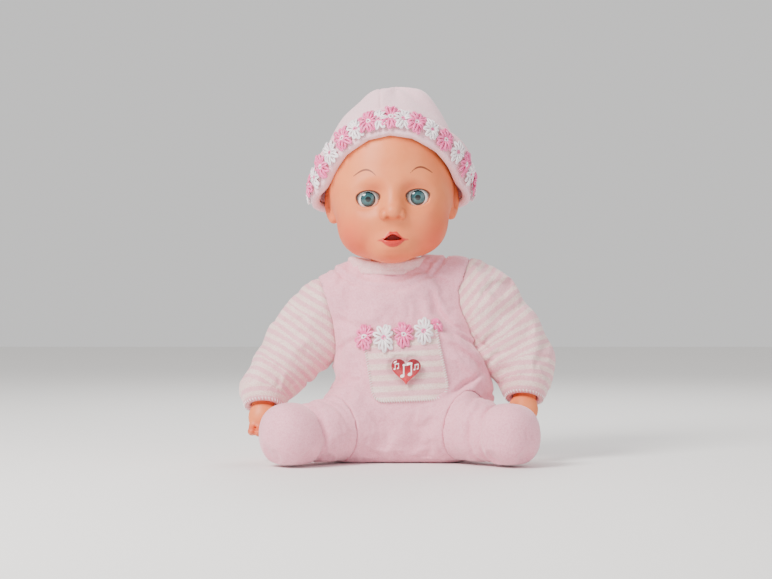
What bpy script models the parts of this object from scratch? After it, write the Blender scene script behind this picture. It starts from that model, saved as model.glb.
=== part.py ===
"""A sitting soft-bodied baby doll with a sound module, a hat, sleeping eyes and movable limbs.

Frame: origin at the middle of the flat seat, +Z up, the face looks along -Y, +X is the doll's left.
Each moving group is modelled round an empty that stands on its joint's axis.
"""

import math

import bmesh
import bpy
from mathutils import Matrix, Vector

MM = 0.001

# ---------------------------------------------------------------- driving dimensions
GAP = 0.3 * MM
CLOTH = 2.0 * MM
VINYL = 2.6 * MM

# Torso: height, half width, half depth, centre x and centre y.
TORSO_POWER = 2.6
TORSO_STATIONS = [
    # (z, half width, half depth, centre x, centre y)
    (0, 44, 36, 8, 3),
    (5, 54, 45, 9, 3),
    (18, 59, 49, 10, 1),
    (40, 57, 49, 10, 1),
    (60, 54, 47, 11, 3),
    (80, 54, 46, 10, 4),
    (100, 50, 43, 4, 7),
    (118, 50, 38, 0, 9),
    (132, 49, 35, 0, 9),
    (142, 45, 32, 0, 9),
    (150, 38, 29, 0, 8),
]
TORSO_SIDES = 26

NECK = Vector((0, 8, 150)) * MM
HEAD_ROLL = math.radians(-2.0)
NECK_SOCKET_R = 24 * MM
NECK_STUB_R = 15 * MM
NECK_FLANGE_R = 18.4 * MM
NECK_BORE_R = 11.5 * MM

# Head, in its own frame: origin at the neck joint.
HEAD_HEART = Vector((0, -13, 58)) * MM
HEAD_LUMPS = [
    # (centre, radii): cranium, face, two cheeks, nose, chin, two brows
    ((0, 1, 78), (46.5, 55, 53)),
    ((0, -18, 44), (40, 39, 38)),
    ((22, -27, 31), (22.5, 23, 21)),
    ((-22, -27, 31), (22.5, 23, 21)),
    ((0, -52, 41), (7.5, 12, 6.5)),
    ((0, -38, 15), (14, 15, 11)),
    ((20, -30, 53), (18, 22, 19)),
    ((-20, -30, 53), (18, 22, 19)),
]
INNER_LUMPS = [HEAD_LUMPS[k] for k in (0, 1, 2, 3, 6, 7)]
HAT_LUMPS = HEAD_LUMPS[:5]
EAR_LUMPS = [
    ((46, 2, 45), (7.5, 7.5, 14)),
    ((-46, 2, 45), (7.5, 7.5, 14)),
]
BLEND_POWER = 22
EYE_AT = Vector((18.7, -41, 53)) * MM
EYE_R = 10 * MM
EYE_OPENING = (8.4 * MM, 6.2 * MM)
EYE_CASE_IN = 10.9 * MM
EYE_CASE_OUT = 12.1 * MM
MOUTH_Z = 21 * MM
MOUTH_OPENING = (7.2 * MM, 3.4 * MM)
MOUTH_CUP_R = 9.5 * MM

# Hat, in the head's frame.
HAT_HEART = Vector((0, -2, 70)) * MM
HAT_GAP = 1.6 * MM
HAT_THICK = 3.0 * MM
HAT_BRIM_EXTRA = 1.8 * MM
HAT_EDGE = [
    # (degrees round from the face, height of the brim's edge above the neck joint)
    (0, 105),
    (30, 101),
    (56, 91),
    (75, 78),
    (90, 64),
    (105, 58),
    (120, 52),
    (180, 47),
]
HAT_CROWN_RISE = 5 * MM
HAT_LIFT = 110 * MM

# Limbs: half of a mirrored pair; side is +1 for the doll's left.
SHOULDERS = {1: Vector((62, 5, 128)) * MM, -1: Vector((-59, 5, 122)) * MM}
ARM_STATIONS = [
    # (x, y, z) from the shoulder joint and the radius there
    ((0, 0, 0), 22),
    ((9, -1, -9), 23.5),
    ((25, -3, -31), 24.5),
    ((38, -7, -53), 22.5),
    ((41, -13, -69), 17.5),
    ((41, -18, -79), 14.5),
]
ARM_SWING_OUT = math.radians(20)
HIP = Vector((40, -28, 27)) * MM
HIP_CENTRE_X = 6 * MM
LEG_SPLAY = math.radians(48)
LEG_STATIONS = [
    # (distance along the leg, height of its middle, half width, half height), from the hip joint
    (0, 0, 24, 24),
    (16, 0, 23.4, 23.6),
    (34, -2.4, 20.5, 22),
    (48, -3.6, 19.8, 22.6),
    (58, -2.2, 21.4, 24.6),
    (68, -2.2, 20.6, 24.2),
    (75, -2.6, 15, 18.5),
    (78, -2.8, 7, 9),
]
LIMB_SIDES = 16

# Sound module in the back.
MODULE = Vector((10, 0, 70)) * MM
MODULE_HALF = (27 * MM, 29 * MM)
PANEL_Y = 48.2 * MM
PANEL_T = 2.6 * MM
CASE_FRONT_Y = 22 * MM
CASE_WALL = 1.6 * MM
BAY_Z = 55 * MM
BAY_HALF = (12.4 * MM, 6.6 * MM)
BAY_DEPTH = 13.4 * MM
CELL_R = 5.8 * MM
CELL_T = 5.4 * MM
DOOR_HALF_X = 14 * MM
DOOR_Z = (45.4 * MM, 68.4 * MM)
DOOR_T = 1.5 * MM
SPEAKER_Z = 83 * MM
SPEAKER_R = 12.5 * MM
SWITCH_AT = Vector((30.5, 0, 58)) * MM
SWITCH_TRAVEL = 4 * MM

# Heart button on the belly.
HEART = Vector((10.6, 0, 70)) * MM
HEART_WIDTH = 23 * MM
HEART_T = 2.6 * MM
HEART_BACK_Y = -48.7 * MM
HEART_HOLE_R = 3.7 * MM
PRESS_SWITCH_R = 10 * MM
HEART_TRAVEL = 2 * MM
POCKET_X = (-20 * MM, 43 * MM)
POCKET_Z = (54 * MM, 97 * MM)
POCKET_T = 1.5 * MM

COLOURS = {
    # name: (red, green, blue, roughness, metallic)
    "velour": (0.86, 0.62, 0.66, 0.9, 0),
    "stripe_knit": (0.88, 0.68, 0.71, 0.95, 0),
    "hat_velour": (0.9, 0.74, 0.77, 0.9, 0),
    "satin_trim": (0.93, 0.55, 0.68, 0.5, 0),
    "vinyl": (0.8, 0.48, 0.34, 0.45, 0),
    "eye_white": (0.9, 0.9, 0.9, 0.15, 0),
    "eye_iris": (0.1, 0.3, 0.35, 0.1, 0),
    "white_plastic": (0.85, 0.85, 0.83, 0.4, 0),
    "red_plastic": (0.75, 0.03, 0.1, 0.3, 0),
    "black_plastic": (0.05, 0.05, 0.05, 0.5, 0),
    "fibre": (0.92, 0.92, 0.9, 1, 0),
    "nylon_tie": (0.9, 0.9, 0.88, 0.5, 0),
    "steel": (0.6, 0.6, 0.6, 0.3, 1),
    "circuit": (0.05, 0.25, 0.1, 0.6, 0),
}


# ---------------------------------------------------------------- helpers
def clear_scene():
    for old in list(bpy.data.objects):
        bpy.data.objects.remove(old)


def material(name):
    found = bpy.data.materials.get(name)
    if found:
        return found
    red, green, blue, rough, metal = COLOURS[name]
    made = bpy.data.materials.new(name)
    made.use_nodes = True
    shader = made.node_tree.nodes["Principled BSDF"]
    shader.inputs["Base Color"].default_value = (red, green, blue, 1)
    shader.inputs["Roughness"].default_value = rough
    shader.inputs["Metallic"].default_value = metal
    return made


def empty(name, matrix, parent=None):
    made = bpy.data.objects.new(name, None)
    bpy.context.scene.collection.objects.link(made)
    made.parent = parent
    made.matrix_local = matrix
    return made


def add_object(name, mesh, look, parent=None, matrix=None):
    made = bpy.data.objects.new(name, mesh)
    bpy.context.scene.collection.objects.link(made)
    made.parent = parent
    if matrix is not None:
        made.matrix_local = matrix
    if look:
        mesh.materials.append(material(look))
    return made


def mesh_of(bm, name, smooth_degrees=40):
    bmesh.ops.recalc_face_normals(bm, faces=bm.faces)
    mesh = bpy.data.meshes.new(name)
    bm.to_mesh(mesh)
    bm.free()
    mesh.shade_smooth()
    mesh.set_sharp_from_angle(angle=math.radians(smooth_degrees))
    return mesh


def skin_rings(bm, rings, closed_loop=False):
    """Faces between neighbouring rings; the ends are capped unless the last ring joins the first."""
    loops = [[bm.verts.new(p) for p in ring] for ring in rings]
    count = len(loops[0])
    pairs = list(zip(loops, loops[1:]))
    if closed_loop:
        pairs.append((loops[-1], loops[0]))
    for low, high in pairs:
        for i in range(count):
            j = (i + 1) % count
            bm.faces.new((low[i], low[j], high[j], high[i]))
    if not closed_loop:
        bm.faces.new(loops[0])
        bm.faces.new(loops[-1])
    return loops


def solid_from_rings(name, rings, look, parent=None, closed_loop=False):
    bm = bmesh.new()
    skin_rings(bm, rings, closed_loop)
    return add_object(name, mesh_of(bm, name), look, parent)


def circle(radius, height, sides, centre=(0, 0)):
    turn = 2 * math.pi / sides
    return [
        Vector((centre[0] + radius * math.cos(i * turn), centre[1] + radius * math.sin(i * turn), height))
        for i in range(sides)
    ]


def turned(name, profile, look, parent=None, matrix=None, sides=24, ring=False):
    """A body turned about local Z from (radius, height) points; ring=True closes the profile."""
    bm = bmesh.new()
    skin_rings(bm, [circle(r, z, sides) for r, z in profile], closed_loop=ring)
    return add_object(name, mesh_of(bm, name), look, parent, matrix)


def block(name, low, high, look, parent=None, bevel=0.0):
    bm = bmesh.new()
    low = Vector(low)
    high = Vector(high)
    bmesh.ops.create_cube(bm, size=1)
    for v in bm.verts:
        v.co = Vector(low[k] + (v.co[k] + 0.5) * (high[k] - low[k]) for k in range(3))
    made = add_object(name, mesh_of(bm, name), look, parent)
    if bevel:
        edge = made.modifiers.new("edge", "BEVEL")
        edge.width = bevel
        edge.segments = 2
    return made


def extruded(name, outline, y_from, y_to, look, parent=None):
    """A prism along Y from an outline of (x, z) points."""
    rings = [[Vector((x, y, z)) for x, z in outline] for y in (y_from, y_to)]
    return solid_from_rings(name, rings, look, parent)


def oval(half_x, half_z, x, z, sides=20, power=2.0):
    """Outline of an oval, or of a rounded rectangle where power is well over 2."""
    points = []
    for i in range(sides):
        a = 2 * math.pi * i / sides
        c = math.copysign(abs(math.cos(a)) ** (2 / power), math.cos(a))
        s = math.copysign(abs(math.sin(a)) ** (2 / power), math.sin(a))
        points.append((x + half_x * c, z + half_z * s))
    return points


def along_y(centre, radius, y_from, y_to, sides=16):
    """A hidden cylinder along Y, used as a cutter."""
    outline = oval(radius, radius, centre[0], centre[1], sides)
    return cutter(extruded("cutter", outline, y_from, y_to, None))


def cutter(obj):
    obj.name = "cutter"
    obj.hide_render = True
    obj.display_type = "WIRE"
    return obj


def boolean(target, tool, operation="DIFFERENCE"):
    made = target.modifiers.new(operation.lower(), "BOOLEAN")
    made.object = tool
    made.operation = operation
    return target


def ball(centre, radius, parent=None, rings=10, sides=18):
    angles = [math.pi * k / rings for k in range(1, rings)]
    profile = [(radius * math.sin(a), -radius * math.cos(a)) for a in angles]
    made = turned("cutter", profile, None, parent, Matrix.Translation(centre), sides)
    return cutter(made)


def rod(start, end, radius, sides=20):
    """A hidden cylinder from start to end, used as a cutter."""
    direction = end - start
    matrix = Matrix.Translation(start) @ direction.to_track_quat("Z", "Y").to_matrix().to_4x4()
    made = turned("cutter", [(radius, 0), (radius, direction.length)], None, None, matrix, sides)
    return cutter(made)


# ---------------------------------------------------------------- torso
def torso_rings(inset):
    """Rounded cross-sections of the torso, from the seat to the neck, pulled in by inset."""
    rings = []
    for z, half_w, half_d, cx, cy in TORSO_STATIONS:
        height = z * MM
        if z == TORSO_STATIONS[0][0]:
            height += inset
        if z == TORSO_STATIONS[-1][0]:
            height -= inset
        outline = oval(half_w * MM - inset, half_d * MM - inset, cx * MM, cy * MM, TORSO_SIDES, TORSO_POWER)
        rings.append([Vector((x, y, height)) for x, y in outline])
    return rings


def limb_pockets():
    """Hollows in the torso's sides that leave room for the ends of the limbs at every angle."""
    tools = []
    for side in (1, -1):
        hip = hip_at(side)
        root = LEG_STATIONS[0][2] * MM * 1.05 + 2 * GAP
        lift = Matrix.Rotation(math.radians(-32), 4, "X")
        ahead = (Matrix.Rotation(side * LEG_SPLAY, 4, "Z") @ lift @ Vector((0, -1, 0))) * 50 * MM
        tools.append(ball(hip, root))
        tools.append(rod(hip, hip + ahead, root))
        shoulder = shoulder_at(side)
        root = ARM_STATIONS[1][1] * MM * 1.03 + 2 * GAP
        tools.append(ball(shoulder, root))
        # The second rod is a little longer and thicker, so that no two faces lie on each other.
        for back, stretch, extra in ((0, 1.0, 0), (25, 1.05, 0.15 * MM)):
            swing = Matrix.Rotation(math.radians(-back), 3, arm_axis(side))
            along = swing @ (arm_path(side)[2] * stretch)
            tools.append(rod(shoulder, shoulder + along, root + extra))
    return tools


def shoulder_at(side):
    return SHOULDERS[side].copy()


def arm_axis(side):
    """The axis an arm swings about: forwards and up, and a little outwards, is positive."""
    return Vector((-math.cos(ARM_SWING_OUT), -side * math.sin(ARM_SWING_OUT), 0))


def hip_at(side):
    return Vector((HIP_CENTRE_X + side * HIP.x, HIP.y, HIP.z))


def panel_outline(margin, power=8):
    return oval(MODULE_HALF[0] + margin, MODULE_HALF[1] + margin, MODULE.x, MODULE.z, 28, power)


def build_torso():
    skin = solid_from_rings("romper_torso", torso_rings(0), "velour")
    hollow = cutter(solid_from_rings("cutter", torso_rings(CLOTH), None))
    fill = solid_from_rings("torso_stuffing", torso_rings(CLOTH + 2 * GAP), "fibre")
    socket = ball(NECK, NECK_SOCKET_R, rings=12, sides=24)
    module_room = cutter(extruded("cutter", panel_outline(0.6 * MM), CASE_FRONT_Y - 0.6 * MM, 70 * MM, None))
    heart_room = along_y((HEART.x, HEART.z), HEART_HOLE_R, -60 * MM, -36 * MM, 14)
    press_room = along_y((HEART.x, HEART.z), PRESS_SWITCH_R + 0.6 * MM, -60 * MM, -33 * MM, 20)
    lead_room = along_y((HEART.x, HEART.z), 2.2 * MM, -36 * MM, CASE_FRONT_Y + MM, 10)
    boolean(skin, hollow)
    for tool in [socket, heart_room, module_room, *limb_pockets()]:
        boolean(skin, tool)
        boolean(fill, tool)
    boolean(fill, press_room)
    boolean(fill, lead_room)


def front_of_torso(x, z):
    """The y of the torso's front surface at (x, z)."""
    low, high = TORSO_STATIONS[0], TORSO_STATIONS[-1]
    for a, b in zip(TORSO_STATIONS, TORSO_STATIONS[1:]):
        if a[0] * MM <= z <= b[0] * MM:
            low, high = a, b
    share = (z / MM - low[0]) / (high[0] - low[0])
    half_w, half_d, cx, cy = (MM * (low[k] + share * (high[k] - low[k])) for k in range(1, 5))
    across = min(1.0, abs((x - cx) / half_w))
    return cy - half_d * (1 - across**TORSO_POWER) ** (1 / TORSO_POWER)


def front_patch(name, x_range, z_range, lift, thick, look, columns=10, rows=6, flare=0.0):
    """A patch of cloth that follows the belly, held lift in front of it; flare narrows its top."""
    bm = bmesh.new()
    grids = []
    for depth in (lift + thick, lift):
        grid = []
        for r in range(rows + 1):
            row = []
            v = r / rows
            for c in range(columns + 1):
                u = c / columns
                middle = (x_range[0] + x_range[1]) / 2
                x = middle + (x_range[0] + u * (x_range[1] - x_range[0]) - middle) * (1 - flare * v)
                z = z_range[0] + v * (z_range[1] - z_range[0])
                row.append(bm.verts.new((x, front_of_torso(x, z) - depth, z)))
            grid.append(row)
        grids.append(grid)
    front, back = grids
    for r in range(rows):
        for c in range(columns):
            bm.faces.new((front[r][c], front[r][c + 1], front[r + 1][c + 1], front[r + 1][c]))
            bm.faces.new((back[r][c], back[r + 1][c], back[r + 1][c + 1], back[r][c + 1]))
    edge = [(0, c) for c in range(columns)] + [(r, columns) for r in range(rows)]
    edge += [(rows, c) for c in range(columns, 0, -1)] + [(r, 0) for r in range(rows, 0, -1)]
    for (r0, c0), (r1, c1) in zip(edge, edge[1:] + edge[:1]):
        bm.faces.new((front[r0][c0], back[r0][c0], back[r1][c1], front[r1][c1]))
    return add_object(name, mesh_of(bm, name), look)


def build_pocket():
    pocket = front_patch("pocket", POCKET_X, POCKET_Z, 0.9 * MM, POCKET_T, "stripe_knit", flare=0.1)
    boolean(pocket, along_y((HEART.x, HEART.z), HEART_HOLE_R, -70 * MM, -30 * MM, 14))
    trim_z = (POCKET_Z[1] - 7 * MM, POCKET_Z[1] + 7 * MM)
    lift = 0.9 * MM + POCKET_T + 0.6 * MM
    front_patch("pocket_trim", (-22 * MM, 43 * MM), trim_z, lift, 2 * MM, "satin_trim", columns=12, rows=1)


def build_collar():
    """A band round the neck opening, low where the chin passes over it and higher behind."""
    rings = []
    for extra, share in ((-4.4, 0), (-4.0, 0.9), (-1.0, 1), (2.0, 0.8), (3.6, 0)):
        ring = []
        for x, y in oval(29 * MM + extra * MM, 27.5 * MM + extra * MM, 0, NECK.y, 28):
            behind = math.degrees(abs(math.atan2(x, NECK.y - y)))
            rise = min(1.0, max(0.0, (behind - 85) / 40))
            height = 0.4 + share * (0.9 + 5 * rise)
            ring.append(Vector((x, y, NECK.z + height * MM)))
        rings.append(ring)
    solid_from_rings("collar", rings, "velour", closed_loop=True)


# ---------------------------------------------------------------- heart button and its switch
def heart_outline(width, sides=32):
    scale = width / 32
    points = []
    for i in range(sides):
        t = 2 * math.pi * (i + 0.5) / sides
        x = 16 * math.sin(t) ** 3
        z = 13 * math.cos(t) - 5 * math.cos(2 * t) - 2 * math.cos(3 * t) - math.cos(4 * t)
        points.append((HEART.x + x * scale, HEART.z + (z + 2.5) * scale))
    return points


def build_heart():
    slide = empty("heart_slide", Matrix.Identity(4))
    outline = heart_outline(HEART_WIDTH)
    heart = extruded("heart_button", outline, HEART_BACK_Y - HEART_T, HEART_BACK_Y, "red_plastic", slide)
    boolean(heart, along_y((HEART.x, HEART.z), 3 * MM, HEART_BACK_Y - MM, -40.8 * MM, 12), "UNION")
    y0 = -38 * MM
    housing = Matrix.Translation((HEART.x, y0, HEART.z)) @ Matrix.Rotation(math.radians(-90), 4, "X")
    profile = [(PRESS_SWITCH_R, 0), (PRESS_SWITCH_R, 3.4 * MM), (7 * MM, 4.4 * MM)]
    turned("press_switch", profile, "black_plastic", None, housing, 18)


def build_sensor_lead():
    """The lead from the belly switch to the sound module, through the stuffing."""
    start = Vector((HEART.x, -38 * MM + 4.7 * MM, HEART.z))
    end = Vector((HEART.x, CASE_FRONT_Y - GAP, HEART.z))
    rings = []
    steps = 10
    for i in range(steps + 1):
        at = start.lerp(end, i / steps)
        sway = 0.5 * MM * math.sin(2 * math.pi * i / steps)
        rings.append([Vector((x, at.y, z)) for x, z in oval(1.1 * MM, 1.1 * MM, at.x + sway, at.z, 8)])
    solid_from_rings("sensor_lead", rings, "black_plastic")


# ---------------------------------------------------------------- sound module
def build_module_case():
    panel_back = PANEL_Y - PANEL_T
    front = extruded(
        "module_front_case", panel_outline(-0.4 * MM), CASE_FRONT_Y, panel_back - GAP, "white_plastic"
    )
    inside = panel_outline(-0.4 * MM - CASE_WALL)
    room = cutter(extruded("cutter", inside, CASE_FRONT_Y + CASE_WALL, 60 * MM, None))
    boolean(front, room)
    for x, z in corner_points():
        boolean(front, along_y((x, z), 2.6 * MM, CASE_FRONT_Y + MM, panel_back - MM, 10), "UNION")
        boolean(front, along_y((x, z), 1.4 * MM, panel_back - 9 * MM, 60 * MM, 8))

    rear = extruded("module_rear_case", panel_outline(0.2 * MM), panel_back, PANEL_Y, "white_plastic")
    bay_back = panel_back - BAY_DEPTH
    wall = 1.4 * MM
    bay = (BAY_HALF[0] + wall, BAY_HALF[1] + wall)
    shell = block(
        "cutter",
        (MODULE.x - bay[0], bay_back, BAY_Z - bay[1]),
        (MODULE.x + bay[0], panel_back + 0.7 * MM, BAY_Z + bay[1]),
        None,
    )
    boolean(rear, cutter(shell), "UNION")
    cavity = block(
        "cutter",
        (MODULE.x - BAY_HALF[0], bay_back + wall, BAY_Z - BAY_HALF[1]),
        (MODULE.x + BAY_HALF[0], 60 * MM, BAY_Z + BAY_HALF[1]),
        None,
    )
    boolean(rear, cutter(cavity))
    seat = block(
        "cutter",
        (MODULE.x - DOOR_HALF_X - GAP, PANEL_Y - DOOR_T - GAP, DOOR_Z[0] - GAP),
        (MODULE.x + DOOR_HALF_X + GAP, 60 * MM, DOOR_Z[1] + GAP),
        None,
    )
    boolean(rear, cutter(seat))
    boolean(rear, along_y((MODULE.x, screw_z()), 2.4 * MM, 30 * MM, 60 * MM, 12))
    slot = block(
        "cutter",
        (SWITCH_AT.x - 2.2 * MM, 40 * MM, SWITCH_AT.z - 4.6 * MM),
        (SWITCH_AT.x + 2.2 * MM, 60 * MM, SWITCH_AT.z + 4.6 * MM),
        None,
    )
    boolean(rear, cutter(slot))
    for x, z in grille_holes():
        boolean(rear, along_y((x, z), 1.1 * MM, 40 * MM, 60 * MM, 6))
    for x, z in corner_points():
        boolean(rear, along_y((x, z), 1.5 * MM, 40 * MM, 60 * MM, 10))


def screw_z():
    return DOOR_Z[1] - 3.2 * MM


def grille_holes():
    holes = [(MODULE.x, SPEAKER_Z)]
    for count, radius in ((5, 4 * MM), (10, 8 * MM)):
        for i in range(count):
            a = 2 * math.pi * i / count
            holes.append((MODULE.x + radius * math.cos(a), SPEAKER_Z + radius * math.sin(a)))
    return holes


def corner_points():
    reach = (MODULE_HALF[0] - 5.6 * MM, MODULE_HALF[1] - 5.6 * MM)
    return [(MODULE.x + sx * reach[0], MODULE.z + sz * reach[1]) for sx in (1, -1) for sz in (1, -1)]


def build_module_insides():
    panel_back = PANEL_Y - PANEL_T
    x = MODULE.x
    corners = ((x - 18 * MM, 26 * MM, 47 * MM), (x + 18 * MM, 27.2 * MM, 93 * MM))
    board = block("circuit_board", *corners, "circuit")
    chip = cutter(block("cutter", (x - 5 * MM, 27 * MM, 80 * MM), (x + 5 * MM, 29 * MM, 90 * MM), None))
    boolean(board, chip, "UNION")
    turn = Matrix.Translation((x, panel_back - GAP, SPEAKER_Z)) @ Matrix.Rotation(math.radians(90), 4, "X")
    profile = [(SPEAKER_R, 0), (SPEAKER_R, 1.6 * MM), (7 * MM, 4 * MM), (7 * MM, 8 * MM)]
    turned("speaker", profile, "black_plastic", None, turn, 20)
    for i in range(3):
        x = MODULE.x - BAY_HALF[0] + 3.6 * MM + i * (CELL_T + GAP)
        turn = Matrix.Translation((x, cell_y(), BAY_Z)) @ Matrix.Rotation(math.radians(90), 4, "Y")
        edge = 0.5 * MM
        profile = [(CELL_R - edge, 0), (CELL_R, edge), (CELL_R, CELL_T - edge), (CELL_R - edge, CELL_T)]
        turned(f"button_cell_{i + 1}", profile, "steel", None, turn, 16)
    contact = (0.5 * MM, 9 * MM, 10 * MM)
    for name, x in (
        ("battery_contact_spring", MODULE.x - BAY_HALF[0] + 0.4 * MM),
        ("battery_contact_plate", MODULE.x + BAY_HALF[0] - 0.9 * MM),
    ):
        leaf = block(
            name,
            (x, cell_y() - contact[1] / 2, BAY_Z - contact[2] / 2),
            (x + contact[0], cell_y() + contact[1] / 2, BAY_Z + contact[2] / 2),
            "steel",
        )
        if name == "battery_contact_spring":
            bump = rod(
                Vector((x + 0.2 * MM, cell_y(), BAY_Z)), Vector((x + 2.8 * MM, cell_y(), BAY_Z)), 2 * MM, 10
            )
            boolean(leaf, bump, "UNION")
    for i, (x, z) in enumerate(corner_points()):
        turn = Matrix.Translation((x, PANEL_Y + 1.2 * MM, z)) @ Matrix.Rotation(math.radians(90), 4, "X")
        profile = [(2.2 * MM, 0), (2.2 * MM, 0.9 * MM), (1.1 * MM, 0.9 * MM), (1.1 * MM, 8 * MM)]
        turned(f"case_screw_{i + 1}", profile, "steel", None, turn, 10)


def cell_y():
    """The middle of the cells, just behind the bay's floor."""
    return PANEL_Y - PANEL_T - BAY_DEPTH + 1.4 * MM + CELL_R + 0.4 * MM


def build_door():
    hinge = Matrix.Translation((MODULE.x, PANEL_Y, DOOR_Z[0]))
    pivot = empty("battery_door_pivot", hinge)
    height = DOOR_Z[1] - DOOR_Z[0]
    corners = ((-DOOR_HALF_X, -DOOR_T, 0), (DOOR_HALF_X, 0, height))
    door = block("battery_door", *corners, "white_plastic", pivot, 0.25 * MM)
    hole = along_y((0, screw_z() - DOOR_Z[0]), 1.5 * MM, -10 * MM, 10 * MM, 10)
    hole.parent = pivot
    boolean(door, hole)
    turn = Matrix.Translation((0, 0, screw_z() - DOOR_Z[0])) @ Matrix.Rotation(math.radians(90), 4, "X")
    profile = [(2.4 * MM, -1.2 * MM), (2.4 * MM, -GAP), (1.1 * MM, -GAP), (1.1 * MM, 4.5 * MM)]
    turned("battery_door_screw", profile, "steel", pivot, turn, 12)


def build_switch():
    back = PANEL_Y - PANEL_T
    block(
        "power_switch_body",
        (SWITCH_AT.x - 3.6 * MM, back - 8 * MM, SWITCH_AT.z - 6 * MM),
        (SWITCH_AT.x + 3.6 * MM, back - 2 * MM, SWITCH_AT.z + 6 * MM),
        "black_plastic",
    )
    slide = empty("power_switch_slide", Matrix.Translation(SWITCH_AT))
    low = -SWITCH_TRAVEL / 2
    block(
        "power_switch_knob",
        (-1.8 * MM, back - 1.6 * MM, low - 2 * MM),
        (1.8 * MM, PANEL_Y + 1.4 * MM, low + 2 * MM),
        "black_plastic",
        slide,
    )


# ---------------------------------------------------------------- neck
def build_neck(head):
    """The tie and the gathered cloth that hold the head's neck stub."""
    bore = NECK_STUB_R + 0.5 * MM
    tie = [(bore, -4 * MM), (bore, -1 * MM), (bore + 1.8 * MM, -1 * MM), (bore + 1.8 * MM, -4 * MM)]
    turned("neck_tie", tie, "nylon_tie", head, None, 28, ring=True)
    wide = NECK_FLANGE_R + 0.5 * MM
    narrow = bore + 2.2 * MM
    profile = [
        (wide, -10 * MM),
        (wide, -5 * MM),
        (narrow, -5 * MM),
        (narrow, 1.5 * MM),
        (narrow + 2.2 * MM, 1.5 * MM),
        (21.2 * MM, -4 * MM),
        (21 * MM, -10 * MM),
    ]
    turned("neck_gather", profile, "velour", head, None, 28, ring=True)


# ---------------------------------------------------------------- head
def reach_of(lump, heart, direction):
    """How far a ray from heart goes before it leaves the lump, or 0 if it misses it."""
    centre, radii = lump
    start = Vector((heart[k] - centre[k] * MM) / (radii[k] * MM) for k in range(3))
    step = Vector(direction[k] / (radii[k] * MM) for k in range(3))
    a = step.dot(step)
    b = start.dot(step)
    inside = b * b - a * (start.dot(start) - 1)
    if inside <= 0:
        return 0.0
    return max(0.0, (-b + math.sqrt(inside)) / a)


def head_reach(heart, direction, lumps):
    """The head's outer surface in that direction, with its lumps run smoothly together."""
    total = sum((reach_of(lump, heart, direction) / MM) ** BLEND_POWER for lump in lumps)
    return total ** (1 / BLEND_POWER) * MM


def direction_of(around, down):
    """Unit direction: around from the face to the doll's left, down from straight up, in radians."""
    return Vector((math.sin(around) * math.sin(down), -math.cos(around) * math.sin(down), math.cos(down)))


def head_rings(lumps, inset, neck_clear, rows, last_degrees, sides):
    """Rings from the crown down; the lowest are kept at least neck_clear away from the neck's axis."""
    rings = []
    for k in range(1, rows + 1):
        down = math.radians(last_degrees) * k / rows
        ring = []
        for i in range(sides):
            d = direction_of(2 * math.pi * i / sides, down)
            p = HEAD_HEART + d * (head_reach(HEAD_HEART, d, lumps) - inset)
            out = math.hypot(p.x, p.y)
            if down > math.pi / 2 and out < neck_clear:
                p = Vector((p.x * neck_clear / out, p.y * neck_clear / out, p.z))
            ring.append(p)
        rings.append(ring)
    return rings


def neck_circle(radius, height, sides):
    turn = 2 * math.pi / sides
    return [Vector((radius * math.sin(i * turn), -radius * math.cos(i * turn), height)) for i in range(sides)]


def build_head(head):
    sides = 36
    outer = head_rings(HEAD_LUMPS + EAR_LUMPS, 0, NECK_STUB_R + 0.5 * MM, 20, 150, sides)
    inner = head_rings(INNER_LUMPS, VINYL, NECK_BORE_R + 0.5 * MM, 15, 147, sides)
    stub = [
        neck_circle(NECK_STUB_R, 6 * MM, sides),
        neck_circle(NECK_STUB_R, -5.4 * MM, sides),
        neck_circle(NECK_FLANGE_R, -6 * MM, sides),
        neck_circle(NECK_FLANGE_R, -9 * MM, sides),
        neck_circle(NECK_BORE_R, -9 * MM, sides),
        neck_circle(NECK_BORE_R, 9 * MM, sides),
    ]
    shell = solid_from_rings("head_shell", outer + stub + inner[::-1], "vinyl", head)
    cup = along_y((0, MOUTH_Z), MOUTH_CUP_R, -54.5 * MM, -40 * MM, 20)
    mouth = cutter(extruded("cutter", oval(*MOUTH_OPENING, 0, MOUTH_Z, 16), -80 * MM, -42.5 * MM, None))
    for tool in (cup, mouth):
        tool.parent = head
    boolean(shell, cup, "UNION")
    boolean(shell, mouth)
    for side in (1, -1):
        opening = oval(*EYE_OPENING, side * EYE_AT.x, EYE_AT.z, 20)
        hole = cutter(extruded("cutter", opening, -80 * MM, -30 * MM, None))
        hole.parent = head
        boolean(shell, hole)
        at = Vector((side * EYE_AT.x, EYE_AT.y, EYE_AT.z))
        boolean(shell, ball(at, EYE_R + 0.6 * MM, head, 14, 24))


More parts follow.
